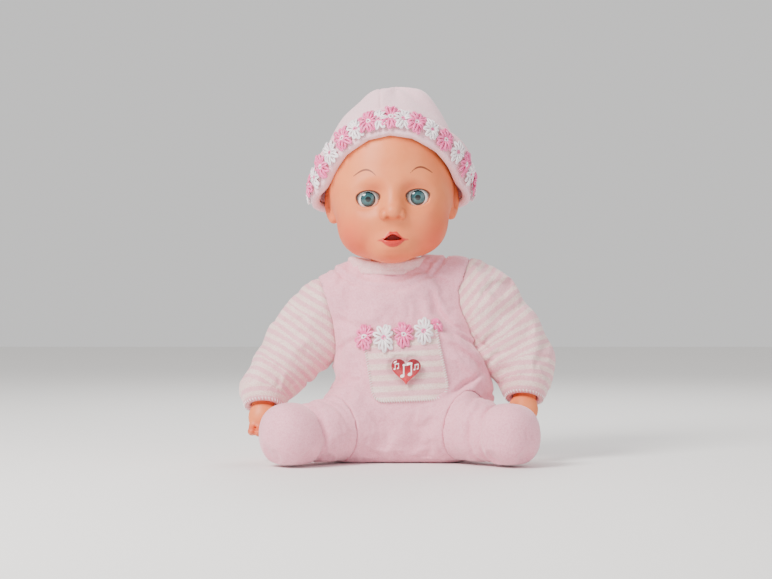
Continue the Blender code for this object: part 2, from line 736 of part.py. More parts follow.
def build_eye(head, side, name):
    """A weighted eye that closes by itself when the doll lies down, in its case."""
    at = Vector((side * EYE_AT.x, EYE_AT.y, EYE_AT.z))
    facing = Matrix.Rotation(math.radians(90), 4, "X")
    case_at = Matrix.Translation(at) @ facing
    front, back = 2 * MM, -5 * MM
    profile = [(EYE_CASE_IN, front), (EYE_CASE_OUT, front), (EYE_CASE_OUT, back), (EYE_CASE_IN, back)]
    case = turned(f"{name}_eye_case", profile, "white_plastic", head, case_at, 24, ring=True)
    bearing = rod(at - Vector((15 * MM, 0, 0)), at + Vector((15 * MM, 0, 0)), 1.4 * MM, 10)
    bearing.parent = head
    boolean(case, bearing)

    eye = empty(f"{name}_eye_axis", Matrix.Translation(at), head)
    rings = 9
    angles = [math.pi * k / rings for k in range(1, rings)]
    cap = [(EYE_R * math.sin(a), EYE_R * math.cos(a)) for a in angles]
    eyeball = turned(f"{name}_eyeball", cap, "eye_white", eye, facing, 20)
    pin = rod(Vector((-12 * MM, 0, 0)), Vector((12 * MM, 0, 0)), 1.0 * MM, 8)
    arm = rod(Vector((0, 6 * MM, -3 * MM)), Vector((0, 13.2 * MM, -7.5 * MM)), 1.6 * MM, 8)
    for tool in (pin, arm):
        tool.parent = eye
        boolean(eyeball, tool, "UNION")
    dome = [(5.4 * MM, 8.45 * MM), (5.3 * MM, 8.75 * MM), (3.4 * MM, 9.55 * MM), (1.2 * MM, 10 * MM)]
    seat = cutter(turned("cutter", [(5.7 * MM, 8.3 * MM), (5.7 * MM, 12 * MM)], None, eye, facing, 20))
    boolean(eyeball, seat)
    iris = [(dome[0][0], dome[0][1] + GAP / 2), (dome[1][0], dome[1][1] + GAP / 2), *dome[2:]]
    turned(f"{name}_eye_iris", iris, "eye_iris", eye, facing, 20)
    weight_at = Matrix.Translation((0, 16.6 * MM, -9.6 * MM)) @ Matrix.Rotation(math.radians(58), 4, "X")
    turned(f"{name}_eye_weight", [(3.2 * MM, -3.6 * MM), (3.2 * MM, 3.6 * MM)], "steel", eye, weight_at, 12)


# ---------------------------------------------------------------- hat
def hat_edge_height(around):
    """Height of the brim's edge at an angle round from the face."""
    degrees = abs(math.degrees(math.atan2(math.sin(around), math.cos(around))))
    for (a, low), (b, high) in zip(HAT_EDGE, HAT_EDGE[1:]):
        if a <= degrees <= b:
            share = (degrees - a) / (b - a)
            return (low + share * (high - low)) * MM
    return HAT_EDGE[-1][1] * MM


def hat_meridian(around, rows, lift, edge_rise=0.0):
    """Points from the crown to the brim's edge, lift outside the head, never narrowing on the way."""
    lumps = HAT_LUMPS
    goal = hat_edge_height(around) + edge_rise
    low, high = 0.2, 2.6
    for _ in range(30):
        middle = (low + high) / 2
        d = direction_of(around, middle)
        z = HAT_HEART.z + d.z * (head_reach(HAT_HEART, d, lumps) + lift)
        if z > goal:
            low = middle
        else:
            high = middle
    points = []
    widest = 0.0
    for k in range(1, rows + 1):
        down = low * k / rows
        d = direction_of(around, down)
        reach = head_reach(HAT_HEART, d, lumps) + lift + HAT_CROWN_RISE * max(0, d.z) ** 3
        flat = Vector((d.x, d.y, 0)).normalized()
        widest = max(widest, reach * math.sin(down))
        points.append(HAT_HEART + flat * widest + Vector((0, 0, d.z * reach)))
    return points


def build_hat(hat):
    sides, rows = 32, 9
    angles = [2 * math.pi * i / sides for i in range(sides)]
    brim_from = int(rows * 0.66)
    outer, inner = [], []
    for a in angles:
        thick = hat_meridian(a, rows, HAT_GAP + HAT_THICK)
        brim = hat_meridian(a, rows, HAT_GAP + HAT_THICK + HAT_BRIM_EXTRA)
        outer.append([brim[k] if k >= brim_from else thick[k] for k in range(rows)])
        inner.append(hat_meridian(a, rows, HAT_GAP))
    rings = [[outer[i][k] for i in range(sides)] for k in range(rows)]
    rings += [[inner[i][k] for i in range(sides)] for k in reversed(range(rows))]
    solid_from_rings("hat", rings, "hat_velour", hat)


def build_hat_trim(hat):
    """The band of ribbon flowers round the brim."""
    sides, rows = 32, 9
    base = HAT_GAP + HAT_THICK + HAT_BRIM_EXTRA + 1.5 * MM
    far = base + 2.4 * MM
    corners = [(base, 0), (far, 0), (far, 0.5), (far, 1), (base, 1), (base, 0.5)]
    rings = []
    for lift, top in corners:
        rise = (5 + 13 * top) * MM
        ring = [hat_meridian(2 * math.pi * i / sides, rows, lift, rise)[-1] for i in range(sides)]
        rings.append(ring)
    solid_from_rings("hat_trim", rings, "satin_trim", hat, closed_loop=True)


# ---------------------------------------------------------------- limbs
def tube_frames(points):
    """Position and cross directions at each point of a path."""
    frames = []
    for i, p in enumerate(points):
        before = points[max(0, i - 1)]
        after = points[min(len(points) - 1, i + 1)]
        tangent = (after - before).normalized()
        across = tangent.cross(Vector((0, 1, 0))).normalized()
        frames.append((p, across, across.cross(tangent).normalized(), tangent))
    return frames


def round_ring(frame, radius_a, radius_b, sides, shift=0.0):
    p, across, other, tangent = frame
    ring = []
    for i in range(sides):
        a = 2 * math.pi * i / sides
        ring.append(p + tangent * shift + across * radius_a * math.cos(a) + other * radius_b * math.sin(a))
    return ring


def arm_path(side):
    return [Vector((side * x, y, z)) * MM for (x, y, z), _ in ARM_STATIONS]


def arm_rings(side, inset, last_trim=0.0):
    """Cross-sections from the domed root at the shoulder to the cuff, pulled in by inset."""
    frames = tube_frames(arm_path(side))
    rings = []
    root = ARM_STATIONS[0][1] * MM
    for degrees in (70, 50, 25):
        a = math.radians(degrees)
        radius = (root - inset) * math.cos(a)
        rings.append(round_ring(frames[0], radius, radius, LIMB_SIDES, -(root - inset) * math.sin(a)))
    for i, (_, radius) in enumerate(ARM_STATIONS):
        r = radius * MM - inset
        shift = -last_trim if i == len(ARM_STATIONS) - 1 else 0.0
        rings.append(round_ring(frames[i], r, r, LIMB_SIDES, shift))
    return rings


def build_arm(side, name):
    arm = empty(f"{name}_arm_swing", Matrix.Translation(shoulder_at(side)))
    outer = arm_rings(side, 0)
    inner = arm_rings(side, CLOTH)
    solid_from_rings(f"{name}_sleeve", outer + inner[::-1], "stripe_knit", arm, closed_loop=True)
    filled = arm_rings(side, CLOTH + 3 * GAP, 4.4 * MM)
    solid_from_rings(f"{name}_arm_stuffing", filled, "fibre", arm)
    wrist = empty(f"{name}_wrist", wrist_matrix(side), arm)
    tie = [(8.2, 5.2), (8.2, 7.8), (9.4, 7.8), (9.4, 5.2)]
    turned(f"{name}_wrist_tie", [(r * MM, z * MM) for r, z in tie], "nylon_tie", wrist, None, 16, ring=True)
    cut_for_hand(bpy.data.objects[f"{name}_arm_stuffing"], wrist)
    build_hand(side, name, wrist)


def wrist_matrix(side):
    """Local +Z runs up the forearm from the cuff's end, and local -Y faces forwards."""
    path = arm_path(side)
    up = (path[-2] - path[-1]).normalized()
    across = Vector((0, 1, 0)).cross(up).normalized()
    matrix = Matrix((across, up.cross(across), up)).transposed().to_4x4()
    return Matrix.Translation(path[-1]) @ matrix


def cut_for_hand(stuffing, wrist):
    room = cutter(turned("cutter", [(10.4 * MM, -30 * MM), (10.4 * MM, 12 * MM)], None, wrist, None, 20))
    boolean(stuffing, room)


def capsule(start, end, radius, parent, sides=8):
    direction = (end - start).normalized()
    matrix = Matrix.Translation(start) @ direction.to_track_quat("Z", "Y").to_matrix().to_4x4()
    length = (end - start).length
    tip = radius * 0.7
    profile = [(tip, -tip), (radius, 0), (radius, length), (tip, length + tip)]
    return cutter(turned("cutter", profile, None, parent, matrix, sides))


def build_hand(side, name, wrist):
    """A vinyl hand with a grooved stub that turns in the cuff. The palm faces the doll's thigh."""
    stub = [(9.4, 11), (9.4, 8.6), (7.4, 8), (7.4, 5), (9.2, 4.4), (9.2, -1.5), (8.4, -6), (6.5, -9)]
    hand = turned(f"{name}_hand", [(r * MM, z * MM) for r, z in stub], "vinyl", wrist, None, 16)
    palm = turned("cutter", [(0.5, -1), (0.86, -0.5), (1, 0), (0.86, 0.5), (0.5, 1)], None, wrist, None, 14)
    palm.data.transform(Matrix.Diagonal((11.5 * MM, 7.5 * MM, 11 * MM, 1)))
    palm.data.transform(Matrix.Translation((0, -0.5 * MM, -13.5 * MM)))
    boolean(hand, cutter(palm), "UNION")
    for x, length in ((-7.5, 8), (-2.6, 10), (2.6, 10), (7.5, 8)):
        start = Vector((x, -1, -20)) * MM
        end = Vector((x * 0.9, -5, -20 - length)) * MM
        boolean(hand, capsule(start, end, 3.0 * MM, wrist), "UNION")
    thumb_from = Vector((-side * 8, -3, -9)) * MM
    thumb_to = Vector((-side * 11, -9, -17)) * MM
    boolean(hand, capsule(thumb_from, thumb_to, 3.4 * MM, wrist), "UNION")


def leg_rings(inset):
    rings = []
    root = LEG_STATIONS[0][2] * MM - inset
    for degrees in (70, 50, 25):
        a = math.radians(degrees)
        rings.append(leg_ring(root * math.sin(a), 0, root * math.cos(a), root * math.cos(a)))
    for distance, height, half_w, half_h in LEG_STATIONS:
        last = distance == LEG_STATIONS[-1][0]
        back = inset if last else 0
        rings.append(leg_ring(-distance * MM + back, height * MM, half_w * MM - inset, half_h * MM - inset))
    return rings


def leg_ring(y, z, half_w, half_h):
    turn = 2 * math.pi / LIMB_SIDES
    return [
        Vector((half_w * math.cos(i * turn), y, z + half_h * math.sin(i * turn))) for i in range(LIMB_SIDES)
    ]


def build_leg(side, name):
    matrix = Matrix.Translation(hip_at(side)) @ Matrix.Rotation(side * LEG_SPLAY, 4, "Z")
    leg = empty(f"{name}_leg_raise", matrix)
    outer = leg_rings(0)
    inner = leg_rings(CLOTH)
    bm = bmesh.new()
    # The caps are the sole, inside and out; the ring between them is the leg's open root.
    skin_rings(bm, inner[::-1] + outer)
    add_object(f"{name}_leg", mesh_of(bm, f"{name}_leg"), "velour", leg)
    solid_from_rings(f"{name}_leg_stuffing", leg_rings(CLOTH + 2 * GAP), "fibre", leg)


# ---------------------------------------------------------------- the doll
def build():
    clear_scene()
    build_torso()
    build_pocket()
    build_collar()
    build_heart()
    build_sensor_lead()
    build_module_case()
    build_module_insides()
    build_door()
    build_switch()
    neck = empty("head_nod_and_turn", Matrix.Translation(NECK) @ Matrix.Rotation(HEAD_ROLL, 4, "Y"))
    build_neck(neck)
    build_head(neck)
    build_hat(neck)
    build_hat_trim(neck)
    for side, name in ((1, "left"), (-1, "right")):
        build_eye(neck, side, name)
        build_arm(side, name)
        build_leg(side, name)


build()
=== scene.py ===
import itertools
import math

import bpy
import numpy as np
from mathutils import Matrix, Vector
from mathutils.kdtree import KDTree


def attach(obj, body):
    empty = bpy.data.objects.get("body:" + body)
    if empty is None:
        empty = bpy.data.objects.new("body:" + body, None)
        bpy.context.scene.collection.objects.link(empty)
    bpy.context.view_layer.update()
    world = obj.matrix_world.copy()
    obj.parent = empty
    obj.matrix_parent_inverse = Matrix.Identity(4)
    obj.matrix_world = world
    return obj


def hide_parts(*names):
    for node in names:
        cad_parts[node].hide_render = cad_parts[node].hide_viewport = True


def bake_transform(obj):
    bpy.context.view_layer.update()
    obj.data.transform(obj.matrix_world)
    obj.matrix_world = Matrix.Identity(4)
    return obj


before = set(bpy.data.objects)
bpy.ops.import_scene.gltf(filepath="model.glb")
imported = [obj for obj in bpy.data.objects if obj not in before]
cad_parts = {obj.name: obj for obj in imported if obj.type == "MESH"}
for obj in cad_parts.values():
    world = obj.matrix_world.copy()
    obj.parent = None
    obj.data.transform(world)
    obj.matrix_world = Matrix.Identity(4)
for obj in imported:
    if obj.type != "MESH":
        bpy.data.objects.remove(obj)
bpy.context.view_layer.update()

MM = 0.001
NECK = Vector((0, 8, 150)) * MM
HEAD_ROLL = math.radians(-2.0)
HEAD_FRAME = Matrix.Translation(NECK) @ Matrix.Rotation(HEAD_ROLL, 4, "Y")
FACE_X = 1.4
EYE = (19.0, -41.0, 53.0)
LID_DROP = 0.8
EYE_R = 10.0
UNPAINTED = 9.0


# ---------------------------------------------------------------- distance fields, in millimetres
def length(v):
    return np.sqrt((v * v).sum(-1))


def unit(v):
    return v / length(v)[..., None]


def ramp(value, start, span):
    """0 up to start, rising to 1 over span."""
    return np.clip((value - start) / span, 0, 1)


def eased(s):
    return s * s * (3 - 2 * s)


def bell(value, wide):
    return np.exp(-((value / wide) ** 2))


def ball(p, centre, radius):
    return length(p - np.array(centre, float)) - radius


def ellipsoid(p, centre, radii):
    q = p - np.array(centre, float)
    r = np.array(radii, float)
    k0 = length(q / r)
    k1 = length(q / (r * r))
    return k0 * (k0 - 1) / np.maximum(k1, 1e-9)


def capsule(p, a, b, ra, rb):
    a = np.array(a, float)
    b = np.array(b, float)
    d = b - a
    t = np.clip(((p - a) @ d) / (d @ d), 0, 1)
    return length(p - a - t[..., None] * d) - (ra + (rb - ra) * t)


def join(a, b, k):
    h = np.maximum(k - np.abs(a - b), 0) / k
    return np.minimum(a, b) - h * h * k / 4


def carve(a, b, k):
    """a with b taken away, its edge rounded by k."""
    return -join(-a, b, k)


def turned(p, centre, axis, degrees):
    """p seen from a frame turned about axis through centre."""
    m = np.array(Matrix.Rotation(math.radians(-degrees), 3, axis))
    c = np.array(centre, float)
    return (p - c) @ m.T + c


def spread(grid, times):
    for axis in range(3):
        grid = np.repeat(grid, times, axis)
    return grid


ROUGH = 4
BLOCK = 400000


def sampled(field, low, high, step):
    """The field on a fine grid, worked out only near the surface and 50 with its sign elsewhere."""
    count = np.ceil((np.array(high, float) - low) / step).astype(int)
    coarse_n = count // ROUGH + 2
    gx, gy, gz = (low[k] + np.arange(coarse_n[k]) * step * ROUGH for k in range(3))
    grid = np.stack(np.meshgrid(gx, gy, gz, indexing="ij"), -1)
    coarse = field(grid.reshape(-1, 3)).reshape(coarse_n)
    near = np.abs(coarse) < step * ROUGH * 2.2
    cells = np.zeros(coarse_n - 1, bool)
    for corner in itertools.product((slice(None, -1), slice(1, None)), repeat=3):
        cells |= near[corner]
    fine = spread(np.sign(coarse[:-1, :-1, :-1]), ROUGH) * 50.0
    mask = spread(cells, ROUGH)
    idx = np.argwhere(mask)
    values = np.empty(len(idx))
    for s in range(0, len(idx), BLOCK):
        values[s : s + BLOCK] = field(low + idx[s : s + BLOCK] * step)
    fine[mask] = values
    return fine


def crossings(fine, axis):
    """Grid places where the sign changes along an axis, the crossings' points, and which run inwards."""
    lo = [slice(None)] * 3
    hi = [slice(None)] * 3
    lo[axis] = slice(None, -1)
    hi[axis] = slice(1, None)
    inside = fine < 0
    change = np.argwhere(inside[tuple(lo)] != inside[tuple(hi)])
    end = change.copy()
    end[:, axis] += 1
    a, b = fine[tuple(change.T)], fine[tuple(end.T)]
    at = change.astype(float)
    at[:, axis] += a / (a - b)
    return change, at, a > 0


def settled(field, verts, step):
    """The points moved onto field = 0, in three short moves along its slope."""
    for _ in range(3):
        value = field(verts)
        grad = slope(field, verts)
        size = np.maximum((grad * grad).sum(1), 0.05)
        move = grad * (value / size)[:, None]
        verts = verts - move * np.minimum(1, step * 0.5 / np.maximum(length(move), 1e-9))[:, None]
    return verts


def surface_of(field, low, high, step):
    """Vertices and quads of field = 0, with a vertex in each grid cell that the surface cuts."""
    low = np.array(low, float)
    fine = sampled(field, low, high, step)
    n = np.array(fine.shape) - 1
    total = np.zeros((*n, 3))
    hits = np.zeros(n, int)
    quads = []
    for axis in range(3):
        change, at, inwards = crossings(fine, axis)
        u, v = (axis + 1) % 3, (axis + 2) % 3
        around = []
        for du, dv in ((-1, -1), (0, -1), (0, 0), (-1, 0)):
            c = change.copy()
            c[:, u] += du
            c[:, v] += dv
            ok = ((c >= 0) & (c < n)).all(1)
            np.add.at(total, tuple(c[ok].T), at[ok])
            np.add.at(hits, tuple(c[ok].T), 1)
            around.append(np.where(ok, np.ravel_multi_index(np.clip(c, 0, n - 1).T, n), -1))
        quad = np.stack(around, 1)
        quad[inwards] = quad[inwards][:, ::-1]
        quads.append(quad[(quad >= 0).all(1)])
    used = hits > 0
    number = np.cumsum(used.ravel()) - 1
    verts = low + total[used] / hits[used][:, None] * step
    return settled(field, verts, step), number[np.concatenate(quads)]


def slope(field, p, e=0.06):
    grad = np.empty_like(p)
    for k in range(3):
        d = np.zeros(3)
        d[k] = e
        grad[:, k] = (field(p + d) - field(p - d)) / (2 * e)
    return grad


def mesh_piece(name, verts, faces, place=None):
    """An object from points in millimetres, placed by a matrix in metres."""
    mesh = bpy.data.meshes.new(name)
    verts = np.asarray(verts, float) * MM
    mesh.vertices.add(len(verts))
    mesh.vertices.foreach_set("co", verts.astype(np.float32).ravel())
    corners = np.concatenate(faces).astype(np.int32)
    mesh.loops.add(len(corners))
    mesh.loops.foreach_set("vertex_index", corners)
    mesh.polygons.add(len(faces))
    starts = np.cumsum([0, *(len(face) for face in faces[:-1])]).astype(np.int32)
    mesh.polygons.foreach_set("loop_start", starts)
    mesh.update(calc_edges=True)
    mesh.validate()
    mesh.shade_smooth()
    made = bpy.data.objects.new(name, mesh)
    bpy.context.scene.collection.objects.link(made)
    if place is not None:
        made.matrix_world = place
    return made


def note(obj, name, values):
    """Keeps a number for each vertex, for a material to read."""
    layer = obj.data.attributes.new(name, "FLOAT", "POINT")
    layer.data.foreach_set("value", np.asarray(values, np.float32))


# ---------------------------------------------------------------- material building
class Nodes:
    """A small helper that writes a node tree as plain expressions."""

    def __init__(self, name):
        self.material = bpy.data.materials.new(name)
        self.material.use_nodes = True
        self.tree = self.material.node_tree
        self.shader = self.tree.nodes["Principled BSDF"]

    def link(self, value, socket):
        if isinstance(value, bpy.types.NodeSocket):
            self.tree.links.new(value, socket)
        elif value is not None:
            if socket.type == "RGBA" and len(value) == 3:
                value = (*value, 1)
            socket.default_value = value

    def math(self, kind, a, b=0.0):
        node = self.tree.nodes.new("ShaderNodeMath")
        node.operation = kind
        for value, socket in zip((a, b), node.inputs):
            self.link(value, socket)
        return node.outputs[0]

    def times(self, a, b):
        return self.math("MULTIPLY", a, b)

    def plus(self, a, b):
        return self.math("ADD", a, b)

    def minus(self, a, b):
        return self.math("SUBTRACT", a, b)

    def attribute(self, name):
        node = self.tree.nodes.new("ShaderNodeAttribute")
        node.attribute_name = name
        return node.outputs["Fac"]

    def step(self, value, low, high):
        """0 below low, 1 above high, smooth between; high below low turns it round."""
        node = self.tree.nodes.new("ShaderNodeMapRange")
        node.interpolation_type = "SMOOTHSTEP"
        turn = high < low
        self.link(value, node.inputs["Value"])
        node.inputs["From Min"].default_value = min(low, high)
        node.inputs["From Max"].default_value = max(low, high)
        node.inputs["To Min"].default_value = 1 if turn else 0
        node.inputs["To Max"].default_value = 0 if turn else 1
        return node.outputs[0]

    def mix(self, share, a, b):
        node = self.tree.nodes.new("ShaderNodeMix")
        node.data_type = "RGBA"
        node.clamp_factor = True
        self.link(share, node.inputs["Factor"])
        self.link(a, node.inputs["A"])
        self.link(b, node.inputs["B"])
        return node.outputs["Result"]

    def place(self):
        return self.tree.nodes.new("ShaderNodeTexCoord").outputs["Object"]

    def split(self, vector):
        node = self.tree.nodes.new("ShaderNodeSeparateXYZ")
        self.link(vector, node.inputs[0])
        return node.outputs

    def vector(self, x, y, z):
        node = self.tree.nodes.new("ShaderNodeCombineXYZ")
        for value, socket in zip((x, y, z), node.inputs):
            self.link(value, socket)
        return node.outputs[0]

    def scaled(self, vector, scale):
        node = self.tree.nodes.new("ShaderNodeVectorMath")
        node.operation = "MULTIPLY"
        self.link(vector, node.inputs[0])
        node.inputs[1].default_value = scale
        return node.outputs[0]

    def noise(self, vector, scale, detail=2.0, rough=0.5):
        node = self.tree.nodes.new("ShaderNodeTexNoise")
        self.link(vector, node.inputs["Vector"])
        node.inputs["Scale"].default_value = scale
        node.inputs["Detail"].default_value = detail
        node.inputs["Roughness"].default_value = rough
        return node.outputs["Fac"]

    def voronoi(self, vector, scale, feature="F1"):
        node = self.tree.nodes.new("ShaderNodeTexVoronoi")
        node.feature = feature
        self.link(vector, node.inputs["Vector"])
        node.inputs["Scale"].default_value = scale
        return node.outputs["Distance"]

    def bump(self, height, distance, strength):
        node = self.tree.nodes.new("ShaderNodeBump")
        node.inputs["Distance"].default_value = distance
        node.inputs["Strength"].default_value = strength
        self.link(height, node.inputs["Height"])
        return node.outputs[0]

    def done(self, colour, rough, normal=None, **fixed):
        self.link(colour, self.shader.inputs["Base Color"])
        self.link(rough, self.shader.inputs["Roughness"])
        if normal is not None:
            self.link(normal, self.shader.inputs["Normal"])
        for name, value in fixed.items():
            socket = self.shader.inputs[name.replace("_", " ")]
            if socket.type == "RGBA" and len(value) == 3:
                value = (*value, 1)
            socket.default_value = value
        return self.material


def srgb(r, g, b):
    """Linear colour from the 0 to 255 values a screen shows."""
    return tuple(((v / 255 + 0.055) / 1.055) ** 2.4 if v > 10 else v / 255 / 12.92 for v in (r, g, b))


# ---------------------------------------------------------------- the head
def face_middle(z):
    """The face's middle line leans back upright over the tilted head."""
    return FACE_X + 0.035 * (z - 20)


def both(p):
    """p with its left half folded onto the right, for what is the same on both sides of the face."""
    q = p.copy()
    q[..., 0] = np.abs(q[..., 0] - face_middle(q[..., 2]))
    return q


def lid_opening(u, v):
    """Under 0 inside the almond between the lids; u runs outwards from the eye's middle and v up."""
    tall = np.where(v > 0, 5.9, 6.1)
    return (((np.abs(u) / 8.7) ** 2.15 + (np.abs(v) / tall) ** 2.15) ** (1 / 2.15) - 1) * 6.4


def lip_edge(p):
    """Under 0 where the lips are, seen from the front."""
    q = both(p)
    x, z = q[..., 0], q[..., 2]
    top = np.interp(x, (0, 2.8, 4.4, 6.3, 8.5, 12.4), (26.5, 26.9, 25.0, 22.9, 21.4, 20.5))
    low = np.interp(x, (0, 3.0, 5.8, 8.8, 12.4), (14.9, 15.4, 17.0, 19.6, 20.3))
    return np.maximum(np.maximum(z - top, low - z) * 0.8, x - 12.2)


def mouth_hollow(p):
    q = both(p)
    x, z = q[..., 0], q[..., 2]
    roof = np.interp(x, (0, 1.6, 7.6, 12.0), (24.6, 24.4, 20.7, 20.0))
    floor = 20.0 + 0.012 * x * x
    return np.maximum(np.maximum(z - roof, floor - z), q[..., 1] + 48) * 0.8


def lips(f, p):
    """Two soft lips raised from the face."""
    return f - 1.5 * eased(np.clip(0.1 - lip_edge(p) / 2.4, 0, 1)) * (p[..., 1] < -40)


def skull(p):
    q = both(p)
    f = ellipsoid(p, (1.4, 1, 76), (47.5, 55, 54))
    f = join(f, ellipsoid(p, (1.8, -8, 58), (45.5, 45, 34)), 14)
    f = join(f, ellipsoid(q, (0, -17, 42), (39.5, 38.5, 35)), 16)
    f = join(f, ellipsoid(q, (19.0, -27.5, 29), (21.5, 23, 19.5)), 12)
    f = join(f, ellipsoid(q, (19, -28, 53), (20, 22.5, 19)), 10)
    f = join(f, ellipsoid(q, (0, -38.5, 13.6), (17, 15, 10.5)), 9)
    f = carve(f, ellipsoid(q, (20.0, -60.5, 52.5), (15.5, 10.6, 11.5)), 8)
    f = join(f, ellipsoid(q, (0, -45.5, 21), (15, 10.0, 11)), 8)
    return f


def nose(f, p):
    q = both(p)
    f = join(f, capsule(q, (0, -49.6, 56), (0, -56.6, 45.0), 2.4, 4.6), 11)
    f = join(f, ball(q, (0.2, -60.2, 41.8), 5.4), 2.4)
    f = join(f, ellipsoid(q, (6.3, -57.2, 39.6), (3.2, 4.6, 3.8)), 1.3)
    f = carve(f, ellipsoid(q, (4.3, -62.0, 36.4), (2.0, 3.4, 1.9)), 0.8)
    f = carve(f, capsule(q, (0, -60.6, 34.5), (0, -60.9, 29), 1.2, 1.5), 3)
    return f


def ears(f, p):
    q = p.copy()
    q[..., 0] = np.abs(q[..., 0] - 1.8) - 0.6
    q[..., 2] = q[..., 2] - 1.5
    t = turned(q, (44, 3, 50), "Z", -24)
    flap = ellipsoid(t, (46.8, 5, 51), (4.2, 8.6, 14.5))
    flap = join(flap, ball(t, (46.2, 1.5, 38.5), 3.7), 3)
    flap = carve(flap, ellipsoid(t, (50.6, 3.8, 52.5), (3.5, 5.6, 9.6)), 1.6)
    flap = join(flap, capsule(t, (48.2, 8.5, 56), (48.0, 7.5, 44), 1.1, 1.2), 1.5)
    flap = join(flap, ball(t, (46.8, -2.2, 48.5), 2.2), 2)
    return join(f, flap, 3.2)


def head_field(p):
    q = both(p)
    f = nose(skull(p), p)
    f = join(f, ball(q, EYE, EYE_R + 1.9), 4.0)
    f = ears(f, p)
    f = lips(f, p)
    f = join(f, capsule(p, (0, 0, 24), (0, 0, -6), 15.2, 15.0), 10)
    f = carve(f, mouth_hollow(p), 1.2)
    f = carve(f, ball(q, EYE, EYE_R + 0.25), 0.3)
    u, v = q[..., 0] - EYE[0], q[..., 2] - EYE[2] + LID_DROP
    front = np.maximum(lid_opening(u, v), q[..., 1] + 38)
    f = carve(f, front, 1.5)
    return np.maximum(f, -6.5 - p[..., 2])


def brow_distance(p):
    """Distance to the painted line over each eye, less half its width there."""
    x = both(p)[:, 0]
    s = ramp(x, 13.2, 17.0)
    height = 70.4 + 4.6 * np.sin(math.pi * s**0.85) + 0.6 * s + np.where(p[:, 0] < FACE_X, -0.6, 0.2)
    over = np.maximum(x - 30.2, 13.2 - x)
    d = np.abs(p[:, 2] - height) * 0.93
    d = np.where(over > 0, np.hypot(d, over), d)
    return d - 0.24 - 0.4 * np.sin(math.pi * s) ** 0.6


def skin_material():
    n = Nodes("doll_vinyl")
    where = n.place()
    lip = n.attribute("lip")
    blush = n.attribute("blush")
    shade = n.attribute("shade")
    mottle = n.noise(where, 60, 3)
    base = n.mix(n.step(mottle, 0.3, 0.7), srgb(234, 134, 82), srgb(228, 124, 72))
    warm = n.mix(n.times(blush, 0.92), base, srgb(212, 72, 42))
    # Painted shade from the shade note: a darker warm tint over the upper lids, and shade beside the nose's
    # wings, in the nostrils and their creases, and under the lower lip.
    with_painted_shade = n.mix(n.times(shade, 0.75), warm, srgb(186, 84, 48))
    edge = n.plus(lip, n.times(n.minus(n.noise(where, 900, 1), 0.5), 0.25))
    lip_colour = n.mix(n.step(n.noise(where, 350, 2), 0.35, 0.7), srgb(194, 40, 32), srgb(206, 56, 46))
    painted = n.mix(n.step(edge, 0.5, -0.4), with_painted_shade, lip_colour)
    painted = n.mix(n.step(n.attribute("mouth"), 1.0, 0.2), painted, srgb(140, 36, 24))
    brow = n.step(n.attribute("brow"), 0.16, -0.08)
    painted = n.mix(n.times(brow, 0.88), painted, srgb(98, 44, 28))
    lash = n.step(n.attribute("lash"), 0.35, -0.1)
    painted = n.mix(n.times(lash, 0.9), painted, srgb(48, 28, 24))
    grain = n.noise(where, 2600, 2)
    height = n.plus(n.times(grain, 0.5), n.times(n.noise(where, 240, 2), 0.7))
    normal = n.bump(height, 0.00004, 0.5)
    rough = n.plus(0.44, n.times(n.noise(where, 130, 2), 0.1))
    rough = n.minus(rough, n.times(n.step(lip, 0.5, -0.2), 0.14))
    return n.done(
        painted,
        rough,
        normal,
        Subsurface_Weight=0.12,
        Subsurface_Radius=(1.0, 0.35, 0.2),
        Subsurface_Scale=0.003,
        Specular_IOR_Level=0.42,
    )


def add_skin_notes(obj, p):
    q = both(p)
    spots = (
        (28, -38, 25, 15, 1.0),
        (35, -28, 33, 14, 0.85),
        (40, -14, 44, 16, 0.5),
        (0, -46, 7, 11, 0.5),
        (0, -60, 41, 6, 0.3),
        (10, -48, 61, 6, 0.3),
    )
    blush = np.zeros(len(p))
    for x, y, z, size, much in spots:
        d = length(q - np.array((x, y, z), float)) / size
        blush = np.maximum(blush, much * np.exp(-d * d * 0.85))
    ear = bell(np.abs(p[:, 0]) - 49, 5) * bell(p[:, 2] - 50, 18) * bell(p[:, 1] - 3, 12)
    blush = np.maximum(blush, 0.5 * ear)
    note(obj, "blush", blush)
    x, y, z = q[:, 0], p[:, 1], q[:, 2]
    u, v = x - EYE[0], z - EYE[2] + LID_DROP
    # The shade note: a darker tint over the upper lids, and painted shade beside the nose's wings, in the
    # nostrils, in the crease round each wing and in the fold under the lower lip.
    lid = bell(u + 1.5, 9.5) * bell(v - 8.0, 4.2) * (y < -30)
    side = bell(x - 9.5, 3.0) * bell(z - 40.5, 4.5)
    under = bell(x, 9) * bell(z - 12.2, 1.6)
    nostril = bell(x - 4.3, 2.0) * bell(z - 37.2, 1.5)
    crease = bell(np.hypot(x - 5.8, z - 39.8) - 4.6, 0.9) * (x > 6.5)
    front = np.maximum.reduce([0.35 * side, 0.3 * under, nostril, 0.6 * crease]) * (y < -40)
    note(obj, "shade", np.maximum(0.85 * lid, front))
    note(obj, "lip", np.where(y < -38, lip_edge(p), UNPAINTED))
    note(obj, "mouth", np.where(y < -40, mouth_hollow(p) / 0.8 + 0.9, UNPAINTED))
    note(obj, "brow", np.where(y < -20, brow_distance(p), UNPAINTED))
    lash = lid_opening(u, v) - ramp(v, -1.0, 4)
    note(obj, "lash", np.where((v > -1.0) & (y < -30), lash, UNPAINTED))


def build_head():
    verts, faces = surface_of(head_field, (-58, -68, -10), (58, 60, 136), 0.8)
    head = mesh_piece("doll_head", verts, faces, HEAD_FRAME)
    add_skin_notes(head, verts)
    head.data.materials.append(skin_material())
    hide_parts("head_shell", "left_eye_case", "right_eye_case")
    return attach(head, "head")


